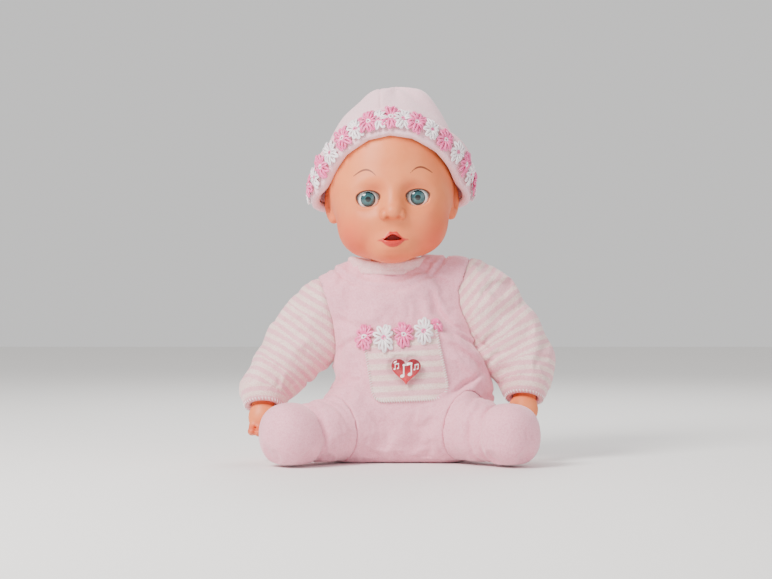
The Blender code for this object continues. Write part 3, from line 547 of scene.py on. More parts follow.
# ---------------------------------------------------------------- the eyes
def eye_material(side):
    n = Nodes(f"doll_eye_{side}")
    x, y, height = n.split(n.scaled(n.place(), (1000, 1000, 1000)))
    z = n.plus(height, LID_DROP)
    r = n.math("SQRT", n.plus(n.times(x, x), n.times(z, z)))
    r = n.plus(r, n.times(n.math("GREATER_THAN", y, 0.0), 20.0))
    angle = n.math("ARCTAN2", z, x)
    ray = n.noise(n.vector(n.times(angle, 9.0), n.times(r, 0.16), 0.0), 1.6, 3, 0.6)
    fine = n.noise(n.vector(n.times(angle, 26.0), n.times(r, 0.25), 3.0), 1.5, 2, 0.6)
    streak = n.plus(n.times(ray, 0.6), n.times(fine, 0.4))
    iris = n.mix(n.step(streak, 0.36, 0.66), srgb(5, 34, 42), srgb(44, 96, 102))
    ring = n.mix(n.times(n.step(r, 3.6, 2.3), 0.3), iris, srgb(70, 124, 122))
    limb = n.mix(n.step(n.plus(r, n.times(streak, 0.5)), 4.7, 5.9), ring, srgb(8, 24, 30))
    # Painted light: the iris's lower part is lighter, as light falls through the eye from above.
    iris_lit_below = n.mix(n.times(n.step(z, 1.0, -5.0), 0.25), limb, srgb(50, 110, 116))
    white = n.mix(n.step(r, 6.2, 10.5), srgb(250, 249, 248), srgb(232, 224, 224))
    whole = n.mix(n.step(r, 5.62, 5.92), iris_lit_below, white)
    whole = n.mix(n.step(r, 2.32, 2.02), whole, srgb(10, 12, 15))
    lid_angle = n.math("ARCTAN2", height, n.times(y, -1.0))
    lid = n.step(lid_angle, math.radians(41.0), math.radians(42.5))
    lash_edge = n.step(lid_angle, math.radians(44), math.radians(46))
    whole = n.mix(lid, whole, n.mix(lash_edge, srgb(48, 28, 24), srgb(214, 108, 62)))
    rough = n.plus(0.12, n.times(lid, 0.4))
    return n.done(whole, rough, None, Coat_Weight=0.8, Coat_Roughness=0.02, Coat_IOR=1.45)


def build_eye(side, sign):
    rows, sides = 90, 120
    a = 2 * math.pi * np.arange(sides) / sides
    rings = []
    for down in math.pi * np.arange(1, rows) / rows:
        flat = EYE_R * math.sin(down)
        y = -EYE_R * math.cos(down)
        rings.append(np.stack([flat * np.cos(a), np.full(sides, y), flat * np.sin(a)], -1))
    verts, quads = closed_grid(np.array(rings))
    front, back, last = len(verts), len(verts) + 1, len(verts) - sides
    verts = np.concatenate([verts, [[0, -EYE_R, 0], [0, EYE_R, 0]]])
    faces = [tuple(f) for f in quads[:-sides]]
    for i in range(sides):
        j = (i + 1) % sides
        faces += [(front, j, i), (back, last + i, last + j)]
    at = HEAD_FRAME @ Matrix.Translation(Vector((face_middle(EYE[2]) + sign * EYE[0], EYE[1], EYE[2])) * MM)
    eye = mesh_piece(f"doll_eye_{side}", verts, faces, at)
    eye.data.materials.append(eye_material(side))
    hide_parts(f"{side}_eyeball", f"{side}_eye_iris", f"{side}_eye_weight")
    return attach(eye, f"{side}_eye")


# ---------------------------------------------------------------- the romper's shapes, in world millimetres
TORSO_STATIONS = (
    (0, 46, 38, 8, 3),
    (5, 54, 45, 9, 3),
    (18, 58, 49, 10, 1),
    (40, 57, 49, 10, 1),
    (60, 54, 47, 11, 3),
    (80, 53, 46, 10, 4),
    (100, 50, 43, 5, 7),
    (118, 49, 38, 1, 9),
    (132, 47, 34, 0, 9),
    (142, 42, 30, 0, 9),
    (150, 33, 25, 0, 8),
    (154, 24, 20, 0, 8),
)
SHOULDERS = {1: (62, 5, 128), -1: (-59, 5, 122)}
ARM_STEPS = {
    1: (
        ((0, 0, 0), 22.5),
        ((11, -1, -9), 23),
        ((29, -3, -31), 23),
        ((41, -7, -53), 21.5),
        ((42, -13, -69), 17.5),
        ((41, -18, -79), 14.5),
    ),
    -1: (
        ((-7, 0, -2), 21),
        ((1, -1, -15), 21),
        ((15, -3, -33), 21),
        ((30, -7, -54), 20),
        ((41, -13, -69), 17),
        ((41, -18, -79), 14.5),
    ),
}
HIPS = {1: (46, -28, 27), -1: (-34, -28, 27)}
LEG_SPLAY = math.radians(48)
LEG_SEAM = 12.0
MODULE_AT = (10, 70)
MODULE_HALF = (27.9, 29.9)
NECK_AXIS = (-2.5, 8.0)
HEART_X, HEART_Z = 10.6, 70


def station(z, column):
    """One column of the torso's stations at height z, with its corners eased."""
    known = [s[0] for s in TORSO_STATIONS]
    values = [s[column] for s in TORSO_STATIONS]
    return sum(np.interp(z + d, known, values) for d in (-6, -3, 0, 3, 6)) / 5


def belly(p):
    """The stuffed trunk, without shoulders."""
    z = p[..., 2]
    w, d, cx, cy = (station(z, k) for k in (1, 2, 3, 4))
    u = np.abs((p[..., 0] - cx) / w)
    v = np.abs((p[..., 1] - cy) / d)
    side = ((u**2.6 + v**2.6) ** (1 / 2.6) - 1) * np.minimum(w, d)
    side = -join(-side, z, 5)
    return -join(-side, 155 - z, 12)


def arm_path(side):
    x, y, z = SHOULDERS[side]
    return [((x + side * dx, y + dy, z + dz), r) for (dx, dy, dz), r in ARM_STEPS[side]]


def arm_axis_at(side, p):
    """How far along the arm's middle line each point lies, in millimetres."""
    path = arm_path(side)
    best = np.full(p.shape[:-1], 1e9)
    along = np.zeros(p.shape[:-1])
    gone = 0.0
    for (a, _), (b, _) in zip(path, path[1:]):
        a, b = np.array(a, float), np.array(b, float)
        span = np.linalg.norm(b - a)
        t = ((p - a) @ (b - a)) / span**2
        t = np.clip(t, -4.0 if gone == 0 else 0, 1)
        d = length(p - a - t[..., None] * (b - a))
        along = np.where(d < best, gone + t * span, along)
        best = np.minimum(best, d)
        gone += span
    return along


def sleeve_shape(side, p):
    path = arm_path(side)
    f = None
    for (a, ra), (b, rb) in zip(path, path[1:]):
        piece = capsule(p, a, b, ra, rb)
        f = piece if f is None else join(f, piece, 7)
    if side > 0:
        under = capsule(p, (66, 4, 112), (84, 1, 88), 20, 22)
        f = join(f, capsule(p, (60, 7, 137), (74, 4, 124), 20, 22), 9)
    else:
        under = capsule(p, (-50, 4, 96), (-75, 1, 78), 19.5, 20)
        f = join(f, capsule(p, (-50, 5, 118), (-72, 2, 93), 20.5, 21.5), 9)
    return join(f, under, 10)


ARMHOLES = {
    1: ((66, 84, 102, 136, 161), (104, 75, 66, 58, 64)),
    -1: ((60, 75, 90, 105, 118, 140, 160), (-84, -46, -45, -48, -52, -58, -63)),
}


def armhole(side, p):
    """Over 0 outside the seam where the sleeve is set in."""
    heights, across = ARMHOLES[side]
    return (p[..., 0] - np.interp(p[..., 2], heights, across)) * side * 0.9


def tucked(side, p):
    """The sleeve, drawn in where it goes under the trunk's cloth."""
    inner = np.clip(0.1 - armhole(side, p) / 4, 0, 1) * ramp(p[..., 2], 84, 12)
    return sleeve_shape(side, p) + 1.7 * eased(inner)


def folds(p, side):
    """Soft creases across the sleeve: three at the elbow's inside and a few round the cuff."""
    along = arm_axis_at(side, p)
    x, y, _ = SHOULDERS[side]
    inner = np.clip(-side * (p[..., 0] - x - side * 30) / 30 + 0.3, 0, 1.4)
    wave = 1.3 * bell(along - 46, 4.0)
    wave += bell(along - 58 - 0.15 * p[..., 1], 3.5)
    wave += 0.8 * bell(along - 33 + 0.2 * p[..., 1], 4.5)
    angle = np.arctan2(p[..., 1] - y, side * (p[..., 0] - x))
    return wave * inner + ramp(along, 72, 18) * 0.55 * np.sin(11 * angle + 2.2 * np.sin(3 * angle))


def wrist_frame(side):
    """Origin at the cuff's end; local +Z runs up the forearm and local -Y faces forwards."""
    path = arm_path(side)
    end, before = Vector(path[-1][0]), Vector(path[-2][0])
    up = (before - end).normalized()
    across = Vector((0, 1, 0)).cross(up).normalized()
    turn = Matrix((across, up.cross(across), up)).transposed().to_4x4()
    return Matrix.Translation(end * MM) @ turn


def to_frame(matrix, p):
    """World millimetres to the frame's own millimetres."""
    m = np.array(matrix.inverted())
    return p @ m[:3, :3].T + m[:3, 3] / MM


def sleeve(side, p):
    f = tucked(side, p) + folds(p, side)
    q = to_frame(wrist_frame(side), p)
    near = length(q) < 40
    f = np.where(near, -join(-f, q[..., 2] + 0.5, 3.5), f)
    rim = np.hypot(np.hypot(q[..., 0], q[..., 1]) - 12.9, q[..., 2] - 0.6) - 2.0
    f = join(f, rim, 1.5)
    bore = np.maximum(np.hypot(q[..., 0], q[..., 1]) - 10.2, q[..., 2] - 12)
    return carve(f, bore, 1.2)


def leg_frame(side):
    """Origin at the hip; local -Y runs out along the leg."""
    at = Matrix.Translation(Vector(HIPS[side]) * MM)
    return at @ Matrix.Rotation(side * LEG_SPLAY, 4, "Z")


def leg(side, p):
    q = to_frame(leg_frame(side), p)
    q[..., 1] *= -1
    lift = 1.5 if side > 0 else 0.0
    f = ellipsoid(q, (0, 0, 0), (24, 24, 24))
    thigh = q * np.array((1.0, 1.0, 0.97))
    f = join(f, capsule(thigh, (0, 4, 0.5 + lift), (0, 26, -2.5 + lift), 23.4, 21.6), 10)
    f = join(f, capsule(q, (0, 26, -2.6), (0, 44, -5.2), 21, 19.0), 9)
    foot = np.abs((q - np.array((0, 59.8, -4.2))) / np.array((21.8, 18.0, 22.6)))
    f = join(f, (((foot**2.25).sum(-1)) ** (1 / 2.25) - 1) * 19, 13)
    x, out, z = q[..., 0], q[..., 1], q[..., 2]
    ankle = 1.5 * bell(out - 44 + 0.12 * x, 2.8) + 0.9 * bell(out - 37 - 0.10 * x, 2.6)
    knee = 1.2 * bell(out - 23 + 0.35 * x, 3.0) + 0.9 * bell(out - 31 + 0.45 * x, 2.6)
    f = f + ankle + knee * ramp(z, 0, 18)
    return -join(-f, p[..., 2] - 0.2, 5)


# Creases on the romper's front: points across the doll and up it, depth and width.
# Each fades out at its ends.
FOLDS = (
    (((32, 106), (48, 98), (62, 91), (77, 79)), 5.5, 2.2),
    (((30, 128), (35, 115), (45, 105), (62, 97)), 4.2, 2.8),
    (((46, 90), (60, 80), (74, 66)), 3.2, 2.6),
    (((34, 47), (50, 55), (68, 68)), 5.0, 2.2),
    (((38, 36), (56, 44), (78, 52)), 4.5, 2.2),
    (((26, 40), (42, 47), (56, 62)), 3.2, 2.4),
    (((-46, 34), (-36, 46), (-28, 62)), 3.6, 2.6),
    (((-44, 82), (-34, 91), (-20, 97)), 2.4, 3.0),
    (((-44, 110), (-34, 106), (-24, 104)), 2.2, 3.4),
    (((18, 151), (34, 141), (50, 133)), 2.8, 3.4),
    (((-31, 152), (-37, 143), (-43, 135)), 1.8, 3.0),
)


def fold(f, p, points, depth, wide):
    """Presses a crease into the front, with a roll of cloth beside its lower edge."""
    points = [np.array(point, float) for point in points]
    whole = sum(np.linalg.norm(b - a) for a, b in zip(points, points[1:]))
    q = p[..., (0, 2)]
    best = np.full(p.shape[:-1], 1e9)
    share = np.zeros(p.shape[:-1])
    below = np.zeros(p.shape[:-1])
    gone = 0.0
    for a, b in zip(points, points[1:]):
        span = np.linalg.norm(b - a)
        t = np.clip(((q - a) @ (b - a)) / span**2, 0, 1)
        away = q - a - t[..., None] * (b - a)
        d = length(away)
        nearer = d < best
        normal = np.array((b[1] - a[1], a[0] - b[0])) / span
        best = np.where(nearer, d, best)
        share = np.where(nearer, (gone + t * span) / whole, share)
        below = np.where(nearer, away @ normal, below)
        gone += span
    fade = np.sin(math.pi * np.clip(0.08 + 0.84 * share, 0, 1)) ** 0.7 * (p[..., 1] < 12)
    roll = bell(below - 2.4 * wide, 1.9 * wide) * np.exp(-((best / (5 * wide)) ** 4))
    return f + depth * fade * (bell(best, wide) - 0.6 * roll) * 0.7


def trunk(p):
    """The romper's body with its shoulders and folds, before the limbs' and the module's rooms."""
    f = belly(p)
    f = join(f, capsule(p, (22, 9, 137.5), (51, 7, 138), 20.2, 21.5), 18)
    f = join(f, capsule(p, (-12, 9, 139), (-49, 7, 126), 20, 18.6), 16)
    f = join(f, capsule(p, (-44, 3.5, 119), (-34, 2, 86), 18.6, 15.5), 12)
    f = join(f, capsule(p, (44, 0, 98), (54.5, -5, 55), 21, 24.2), 16)
    f = join(f, ellipsoid(p, (-28, -8, 30), (22, 34, 26)), 16)
    for path, depth, wide in FOLDS:
        f = fold(f, p, path, depth, wide)
    yoke = length(p - np.array((NECK_AXIS[0], 8, 163.0)))
    return f + 1.1 * bell(yoke - 45.4, 1.5) - 0.8 * bell(yoke - 42.0, 2.0)


def lap(p):
    """The trunk and both legs as one skin, so that cloth runs on over the hips."""
    f = trunk(p)
    for side in (1, -1):
        f = join(f, leg(side, p), 13)
    return np.maximum(f, 0.3 - p[..., 2])


def leg_side(side, p):
    """Under 0 where the lap's skin belongs to the leg: beyond its seam and close to it."""
    q = to_frame(leg_frame(side), p)
    beyond = LEG_SEAM + q[..., 1] + 0.10 * q[..., 2]
    return np.maximum(beyond, leg(side, p) - 3.6)


def neck_hole(p):
    return ball(p, (0, 8, 150), 24.2)


def module_hole(p):
    """Under 0 over the sound module, seen from behind."""
    q = np.abs(p[..., (0, 2)] - np.array(MODULE_AT)) / np.array(MODULE_HALF)
    return ((q**8).sum(-1) ** (1 / 8) - 1) * MODULE_HALF[0]


def torso(p):
    f = carve(lap(p), neck_hole(p), 5)
    for side in (1, -1):
        f = np.maximum(f, 0.15 - leg_side(side, p))
    for side in (1, -1):
        f = -join(-f, -armhole(side, p), 2.5)
        f = carve(f, tucked(side, p) - 0.45, 1.2)
    f = carve(f, np.maximum(module_hole(p), 21 - p[..., 1]), 1.8)
    switch_well = np.maximum(np.hypot(p[..., 0] - HEART_X, p[..., 2] - HEART_Z) - 10.8, p[..., 1] + 33)
    return carve(f, switch_well, 1.0)


# ---------------------------------------------------------------- cloth
CLOTH = {
    "quality": 5,
    "mass": 0.15,
    "tension_stiffness": 12,
    "compression_stiffness": 12,
    "shear_stiffness": 6,
    "bending_stiffness": 0.35,
    "tension_damping": 6,
    "compression_damping": 6,
    "air_damping": 2,
    "vertex_group_mass": "pin",
    "use_pressure": True,
    "uniform_pressure_force": 2.5,
}
CLOTH_FRAMES = 20


def carried(points, verts, move):
    """The move at each of the points, from the five cloth points nearest to it."""
    tree = KDTree(len(verts))
    for i, v in enumerate(verts):
        tree.insert(v, i)
    tree.balance()
    out = np.zeros_like(points)
    for k, point in enumerate(points):
        total = 0.0
        for _, i, distance in tree.find_n(point, 5):
            weight = 1.0 / (distance + 0.3) ** 2
            total += weight
            out[k] += move[i] * weight
        out[k] /= total
    return out


def cloth_shift(points, field, low, high, step, pin, surplus, cap):
    """Simulates the skin as stuffed cloth and returns how far each of the points moves with it."""
    verts, faces = surface_of(field, low, high, step)
    body = mesh_piece("cloth_test", verts, faces)
    group = body.vertex_groups.new(name="pin")
    held = pin(verts)
    for i, weight in enumerate(held):
        if weight > 0.01:
            group.add([i], float(weight), "REPLACE")
    cloth = body.modifiers.new("cloth", "CLOTH")
    for key, value in CLOTH.items():
        setattr(cloth.settings, key, value)
    cloth.settings.shrink_min = -surplus
    cloth.settings.effector_weights.gravity = 0
    cloth.collision_settings.use_collision = False
    cloth.point_cache.frame_start = 1
    cloth.point_cache.frame_end = CLOTH_FRAMES
    scene = bpy.context.scene
    for number in range(1, CLOTH_FRAMES + 1):
        scene.frame_set(number)
    shown = body.evaluated_get(bpy.context.evaluated_depsgraph_get())
    after = np.empty(len(shown.data.vertices) * 3, np.float32)
    shown.data.vertices.foreach_get("co", after)
    move = after.reshape(-1, 3).astype(float) / MM - verts
    span = length(move)
    move *= (np.minimum(span, cap) / np.maximum(span, 1e-9) * (1 - held))[:, None]
    scene.frame_set(1)
    bpy.data.objects.remove(body)
    return carried(points, verts, move)


def padded_skin(name, field, low, high, fine, rough, pin, surplus, cap):
    """A soft piece: the field's surface, puckered by a cloth simulation, and its points before that."""
    verts, faces = surface_of(field, low, high, fine)
    moved = verts
    moved = verts + cloth_shift(verts, field, low, high, rough, pin, surplus, cap)
    return mesh_piece(name, moved, faces), verts


def velour_material(name, colour, deep, nap=1.0):
    n = Nodes(name)
    where = n.place()
    patch = n.noise(where, 45, 3, 0.55)
    pile = n.noise(where, 1900, 3, 0.6)
    tuft = n.noise(where, 620, 2, 0.6)
    base = n.mix(n.step(patch, 0.3, 0.72), colour, tuple(c * 0.93 for c in colour))
    base = n.mix(n.times(n.step(pile, 0.62, 0.3), 0.5), base, deep)
    base = n.mix(n.times(n.step(tuft, 0.6, 0.35), 0.3), base, deep)
    height = n.plus(n.times(pile, 0.6), n.times(tuft, 0.8))
    normal = n.bump(height, 0.0005 * nap, 0.55)
    return n.done(
        base,
        0.92,
        normal,
        Sheen_Weight=0.55,
        Sheen_Roughness=0.45,
        Sheen_Tint=(1.0, 0.9, 0.9),
        Specular_IOR_Level=0.15,
    )


def terry_material(name, pitch):
    """Looped knit in cream and pink bands; the mesh's along value counts millimetres across the bands."""
    n = Nodes(name)
    where = n.place()
    along = n.attribute("along")
    shake = n.times(n.minus(n.noise(where, 420, 2), 0.5), 1.1)
    turn = n.times(n.plus(along, shake), 2 * math.pi / pitch)
    band = n.step(n.math("SINE", turn), -0.45, 0.5)
    loops = n.voronoi(where, 1050)
    cream = n.mix(n.step(n.noise(where, 60, 2), 0.3, 0.7), srgb(250, 226, 218), srgb(244, 214, 206))
    pink = n.mix(n.step(n.noise(where, 60, 2), 0.3, 0.7), srgb(244, 186, 196), srgb(238, 176, 188))
    colour = n.mix(band, cream, pink)
    # Painted shade in the hollows between the loops, where the bump below is lowest.
    shade = n.step(loops, 0.25, 0.75)
    colour = n.mix(n.times(shade, 0.42), colour, srgb(214, 146, 150))
    height = n.plus(n.times(loops, -1.0), n.times(n.noise(where, 2300, 2), 0.35))
    normal = n.bump(height, 0.0007, 0.6)
    return n.done(colour, 0.95, normal, Sheen_Weight=0.4, Sheen_Roughness=0.5, Specular_IOR_Level=0.12)


VELOUR = srgb(248, 182, 198)
VELOUR_DEEP = srgb(218, 124, 146)


def build_torso():
    def pin(p):
        held = np.zeros(len(p))
        for side in (1, -1):
            held = np.maximum(held, 1 - ramp(sleeve_shape(side, p), 0.5, 5))
            held = np.maximum(held, 1 - ramp(leg_side(side, p), 0.5, 5))
        held = np.maximum(held, 1 - ramp(neck_hole(p), 0, 8))
        held = np.maximum(held, 1 - ramp(p[:, 2], 0.5, 4))
        held = np.maximum(held, (1 - ramp(module_hole(p), 0, 5)) * (p[:, 1] > 15))
        under_pocket = 1 - ramp(pocket_outline(p[:, 0], p[:, 2]), 3, 6)
        return np.maximum(held, under_pocket * (p[:, 1] < 0))

    low, high = (-72, -62, -3), (88, 58, 170)
    skin, _ = padded_skin("romper_body", torso, low, high, 1.5, 2.7, pin, 0.05, 3.0)
    skin.data.materials.append(velour_material("romper_velour", VELOUR, VELOUR_DEEP))
    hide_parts("romper_torso", "torso_stuffing")
    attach(skin, "torso")


def build_sleeve(side, name):
    def field(p):
        return sleeve(side, p)

    def pin(p):
        q = to_frame(wrist_frame(side), p)
        at_cuff = (1 - ramp(q[:, 2], 3, 5)) * (length(q) < 30)
        inner = 1 - ramp(side * (p[:, 0] - SHOULDERS[side][0]), -6, 10)
        return np.maximum(at_cuff, inner)

    x, _, z = SHOULDERS[side]
    low = (min(x - side * 30, x + side * 70), -46, z - 92)
    high = (max(x - side * 30, x + side * 70), 40, z + 40)
    skin, rest = padded_skin(f"romper_{name}_sleeve", field, low, high, 1.3, 2.5, pin, 0.06, 3.0)
    note(skin, "along", arm_axis_at(side, rest))
    skin.data.materials.append(terry_material(f"terry_{name}", 6.7))
    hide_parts(f"{name}_sleeve", f"{name}_arm_stuffing")
    shoulder, out = Vector(SHOULDERS[side]), Vector((side, 0, 0))
    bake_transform(skin)


def hand(side, q):
    """The vinyl hand in its wrist frame: palm, curled fingers, thumb and the stub in the cuff."""
    f = ellipsoid(q, (0, -1.0, -11.5), (10.8, 7.2, 11))
    f = join(f, capsule(q, (0, 0, 8), (0, 0, -7), 8.9, 8.4), 6)
    for k, (x, reach) in enumerate(((-7.6, 0.86), (-2.6, 1.0), (2.6, 1.0), (7.4, 0.88))):
        knuckle = (x * 0.95, -2.2, -19)
        middle = (x * 1.02, -5.0, -19 - 6.0 * reach)
        tip = (x * 0.98, -10.2, -19 - 8.6 * reach)
        finger = join(capsule(q, knuckle, middle, 3.3, 3.0), capsule(q, middle, tip, 3.0, 2.5), 1.2)
        f = join(f, finger, 1.6 if k else 2.5)
    thumb = capsule(q, (-side * 7, -4, -8), (-side * 10.6, -8.4, -13.5), 4.1, 3.4)
    thumb = join(thumb, capsule(q, (-side * 10.6, -8.4, -13.5), (-side * 9.4, -11.4, -18), 3.3, 2.7), 1.2)
    f = join(f, thumb, 2.5)
    for x in (-5.2, 0, 5.2):
        f = carve(f, capsule(q, (x, -8.5, -21), (x, 3.6, -21.5), 0.5, 0.5), 1.6)
    return np.maximum(f + 0.6 * bell(q[..., 2] + 1.5, 1.1), q[..., 2] - 9.5)


def build_hand(side, name):
    def field(q):
        return hand(side, q)

    verts, faces = surface_of(field, (-18, -18, -36), (18, 12, 12), 0.75)
    piece = mesh_piece(f"doll_{name}_hand", verts, faces, wrist_frame(side))
    up = verts[:, 2]
    note(piece, "blush", np.maximum(0.7 * bell(up + 24, 7), 0.5 * bell(up + 1.5, 2.0)))
    note(piece, "shade", np.zeros(len(verts)))
    for layer in ("lip", "brow", "lash", "mouth"):
        note(piece, layer, np.full(len(verts), UNPAINTED))
    piece.data.materials.append(bpy.data.materials["doll_vinyl"])
    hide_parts(f"{name}_hand")
    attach(piece, f"{name}_hand")


def build_leg(side, name):
    def field(p):
        return np.maximum(lap(p), leg_side(side, p) + 0.15)

    def pin(p):
        q = to_frame(leg_frame(side), p)
        root = 1 - ramp(-q[:, 1] - LEG_SEAM, 3, 8)
        return np.maximum(root, 1 - ramp(p[:, 2], 0.6, 4))

    hip = Vector(HIPS[side])
    far = hip + Vector((side * math.sin(LEG_SPLAY), -math.cos(LEG_SPLAY), 0)) * 60
    low = (min(hip.x, far.x) - 28, min(hip.y, far.y) - 28, -3)
    high = (max(hip.x, far.x) + 28, max(hip.y, far.y) + 28, 62)
    skin, _ = padded_skin(f"romper_{name}_leg", field, low, high, 1.4, 2.6, pin, 0.05, 2.5)
    skin.data.materials.append(bpy.data.materials["romper_velour"])
    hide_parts(f"{name}_leg", f"{name}_leg_stuffing")
    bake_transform(skin)


def build_collar():
    def field(p):
        q = p - np.array((NECK_AXIS[0], NECK_AXIS[1], 0))
        around = np.arctan2(np.abs(q[..., 0]), -q[..., 1])
        top = 154.0 + 4.4 * eased(ramp(np.degrees(around), 8, 66))
        ring = 29.8 + 0.25 * np.sin(23 * around * np.sign(q[..., 0] + 1e-9)) - 0.05 * (p[..., 2] - 150)
        out = np.hypot(q[..., 0], q[..., 1] * 1.03) - ring
        tall = np.maximum(np.maximum(p[..., 2] - (top - 2.2), 146.5 - p[..., 2]), 0)
        band = np.hypot(out, tall) - 2.5
        return band + 0.6 * bell(p[..., 2] - top + 6.2, 0.5)

    verts, faces = surface_of(field, (-42, -32, 143), (38, 46, 166), 0.9)
    piece = mesh_piece("romper_collar", verts, faces)
    piece.data.materials.append(velour_material("collar_velour", srgb(244, 206, 206), VELOUR_DEEP, 0.8))
    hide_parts("collar")
    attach(piece, "torso")


# ---------------------------------------------------------------- the hat, in the head's millimetres
HAT_HEART = np.array((2.0, -2.0, 70.0))
CUFF_TALL = 21.0
CUFF_EDGE = ((0, 102.5), (20, 99.5), (42, 89), (54, 79.5), (67, 69), (80, 61), (96, 52), (120, 46), (180, 43))


def crown(p):
    f = ellipsoid(p, (3, 1, 77), (53.5, 58, 57.5))
    f = join(f, capsule(p, (-4, 1, 129.5), (23, 1, 128.5), 8.5, 8.5), 20)
    f = join(f, capsule(p, (-20, 0, 111), (30, 0, 111), 9, 9), 14)
    q = p.copy()
    q[..., 0] = np.abs(q[..., 0] - 2)
    f = join(f, ellipsoid(q, (50, 4, 53), (8, 15, 20)), 12)
    seam = 0.75 * bell(p[..., 0] + 4.5, 0.9) * (p[..., 2] > 60)
    angle = np.arctan2(p[..., 0] - 8, -p[..., 1])
    dents = 0.9 * np.sin(3 * angle + 0.6) + 0.5 * np.sin(7 * angle + 2.0)
    return f + seam + ramp(p[..., 2], 95, 35) * dents


def hat_edge(around):
    turned_to = np.abs(np.degrees(np.arctan2(np.sin(around), np.cos(around))))
    return np.interp(turned_to, *zip(*CUFF_EDGE))


def from_heart(around, down):
    return np.stack([np.sin(around) * np.sin(down), -np.cos(around) * np.sin(down), np.cos(down)], -1)


def reach(field, around, down):
    """How far from the hat's heart the field's surface lies in each direction."""
    way = from_heart(around, down)
    r = np.full(way.shape[:-1], 95.0)
    for _ in range(40):
        r = r - field(HAT_HEART + way * r[..., None]) * 0.9
    return r


def lowest(around):
    """The angle down from the crown at which the hat's edge lies."""
    down = np.full(around.shape, 1.0)
    for _ in range(25):
        z = HAT_HEART[2] + reach(crown, around, down) * np.cos(down)
        down = down + (z - hat_edge(around)) * 0.012
    return down


def closed_grid(rings):
    """Quads joining each ring of points to the next, and the last to the first."""
    count, sides = rings.shape[:2]
    index = np.arange(count * sides).reshape(count, sides)
    nxt = np.roll(index, -1, 0)
    quads = np.stack([index, np.roll(index, -1, 1), np.roll(nxt, -1, 1), nxt], -1)
    return rings.reshape(-1, 3), quads.reshape(-1, 4)


def capped(rings):
    """Rings joined into a closed body, with a flat face over the first and the last."""
    verts, faces = closed_grid(rings)
    sides = rings.shape[1]
    last = range(len(verts) - sides, len(verts))
    return verts, [*map(tuple, faces[:-sides]), tuple(range(sides))[::-1], tuple(last)]


def build_hat():
    around = 2 * math.pi * np.arange(288) / 288
    edge = lowest(around)
    outer, inner = [], []
    for share in np.arange(91) / 90:
        down = np.maximum(edge * share - 0.07 * share, 0.004)
        way = from_heart(around, down)
        r = reach(crown, around, down)
        outer.append(HAT_HEART + way * r[:, None])
        inner.append(HAT_HEART + way * (r - 1.9)[:, None])
    piece = mesh_piece("hat_crown", *capped(np.array(outer + inner[::-1])), HEAD_FRAME)
    piece.data.materials.append(velour_material("hat_velour", srgb(252, 212, 220), srgb(234, 172, 186), 0.8))
    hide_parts("hat")
    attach(piece, "hat")
    build_cuff(around, edge, piece.data.materials[0])


def cuff_offset(around, t):
    """How far the turned-up cuff stands off the crown; t runs from its fold up to its free edge."""
    a = np.arctan2(np.sin(around), np.cos(around))
    off = 2.8 + 2.0 * t + 0.5 * np.sin(5 * a + 1) * t + 0.35 * np.sin(11 * a + 2) * t
    off = off + 5.0 * bell(a - 1.25, 0.42) * (0.25 + 0.75 * t)
    off = off + 5.2 * bell(a + 1.42, 0.30) * (0.85 - 0.25 * t)
    return off + bell(t - 1, 0.12)


def cuff_point(around, edge, t, off):
    down = edge - t * CUFF_TALL / 60
    r = reach(crown, around, down) + off
    return HAT_HEART + from_heart(around, down) * r[..., None]


def build_cuff(around, edge, look):
    section = [(t, 0.0) for t in np.linspace(0.0, 1.0, 16)]
    section += [(1.03, -0.5), (1.04, -1.1), (1.02, -1.8)]
    section += [(t, -2.2) for t in np.linspace(0.97, 0.22, 10)]
    rings = []
    for t, inward in section:
        off = np.maximum(cuff_offset(around, min(t, 1)) + inward, 0.35)
        rings.append(cuff_point(around, edge, t, off))
    for t, off in ((0.17, -1.4), (0.10, -2.9), (0.0, -3.1), (-0.05, -2.4), (-0.085, -0.6), (-0.085, 1.2)):
        share = 0.8 * np.maximum(cuff_offset(around, 0) - 2.9, 0)
        rings.append(cuff_point(around, edge, t, off + share))
    rings.append(cuff_point(around, edge, -0.05, cuff_offset(around, 0) - 0.35))
    verts, faces = closed_grid(np.array(rings)[::-1])
    piece = mesh_piece("hat_cuff", verts, faces, HEAD_FRAME)
    piece.data.materials.append(look)
    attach(piece, "hat")


# ---------------------------------------------------------------- satin flowers and stitches
UP = np.array((0, 0, 1.0))


def merged(parts):
    """One mesh's vertices and faces from several."""
    faces = []
    count = 0
    for verts, part in parts:
        faces += [tuple(i + count for i in face) for face in part]
        count += len(verts)
    return np.concatenate([verts for verts, _ in parts]), faces


def cord(spine, up, wide, tall, closed):
    """A flat six-sided cord along spine, lying flat against up."""
    step = np.roll(spine, -1, 0) - np.roll(spine, 1, 0) if closed else np.gradient(spine, axis=0)
    ahead = unit(step)
    across = unit(np.cross(ahead, up))
    rise = np.cross(across, ahead)
    a = 2 * math.pi * np.arange(6) / 6
    rings = spine[:, None] + across[:, None] * (wide * np.cos(a))[None, :, None]
    rings = rings + rise[:, None] * (tall * np.sin(a))[None, :, None]
    index = np.arange(len(spine) * 6).reshape(-1, 6)
    nxt = np.roll(index, -1, 0)
    quads = np.stack([index, nxt, np.roll(nxt, -1, 1), np.roll(index, -1, 1)], -1)
    faces = [tuple(f) for f in (quads if closed else quads[:-1]).reshape(-1, 4)]
    if not closed:
        faces += [tuple(index[0]), tuple(index[-1][::-1])]
    return rings.reshape(-1, 3), faces


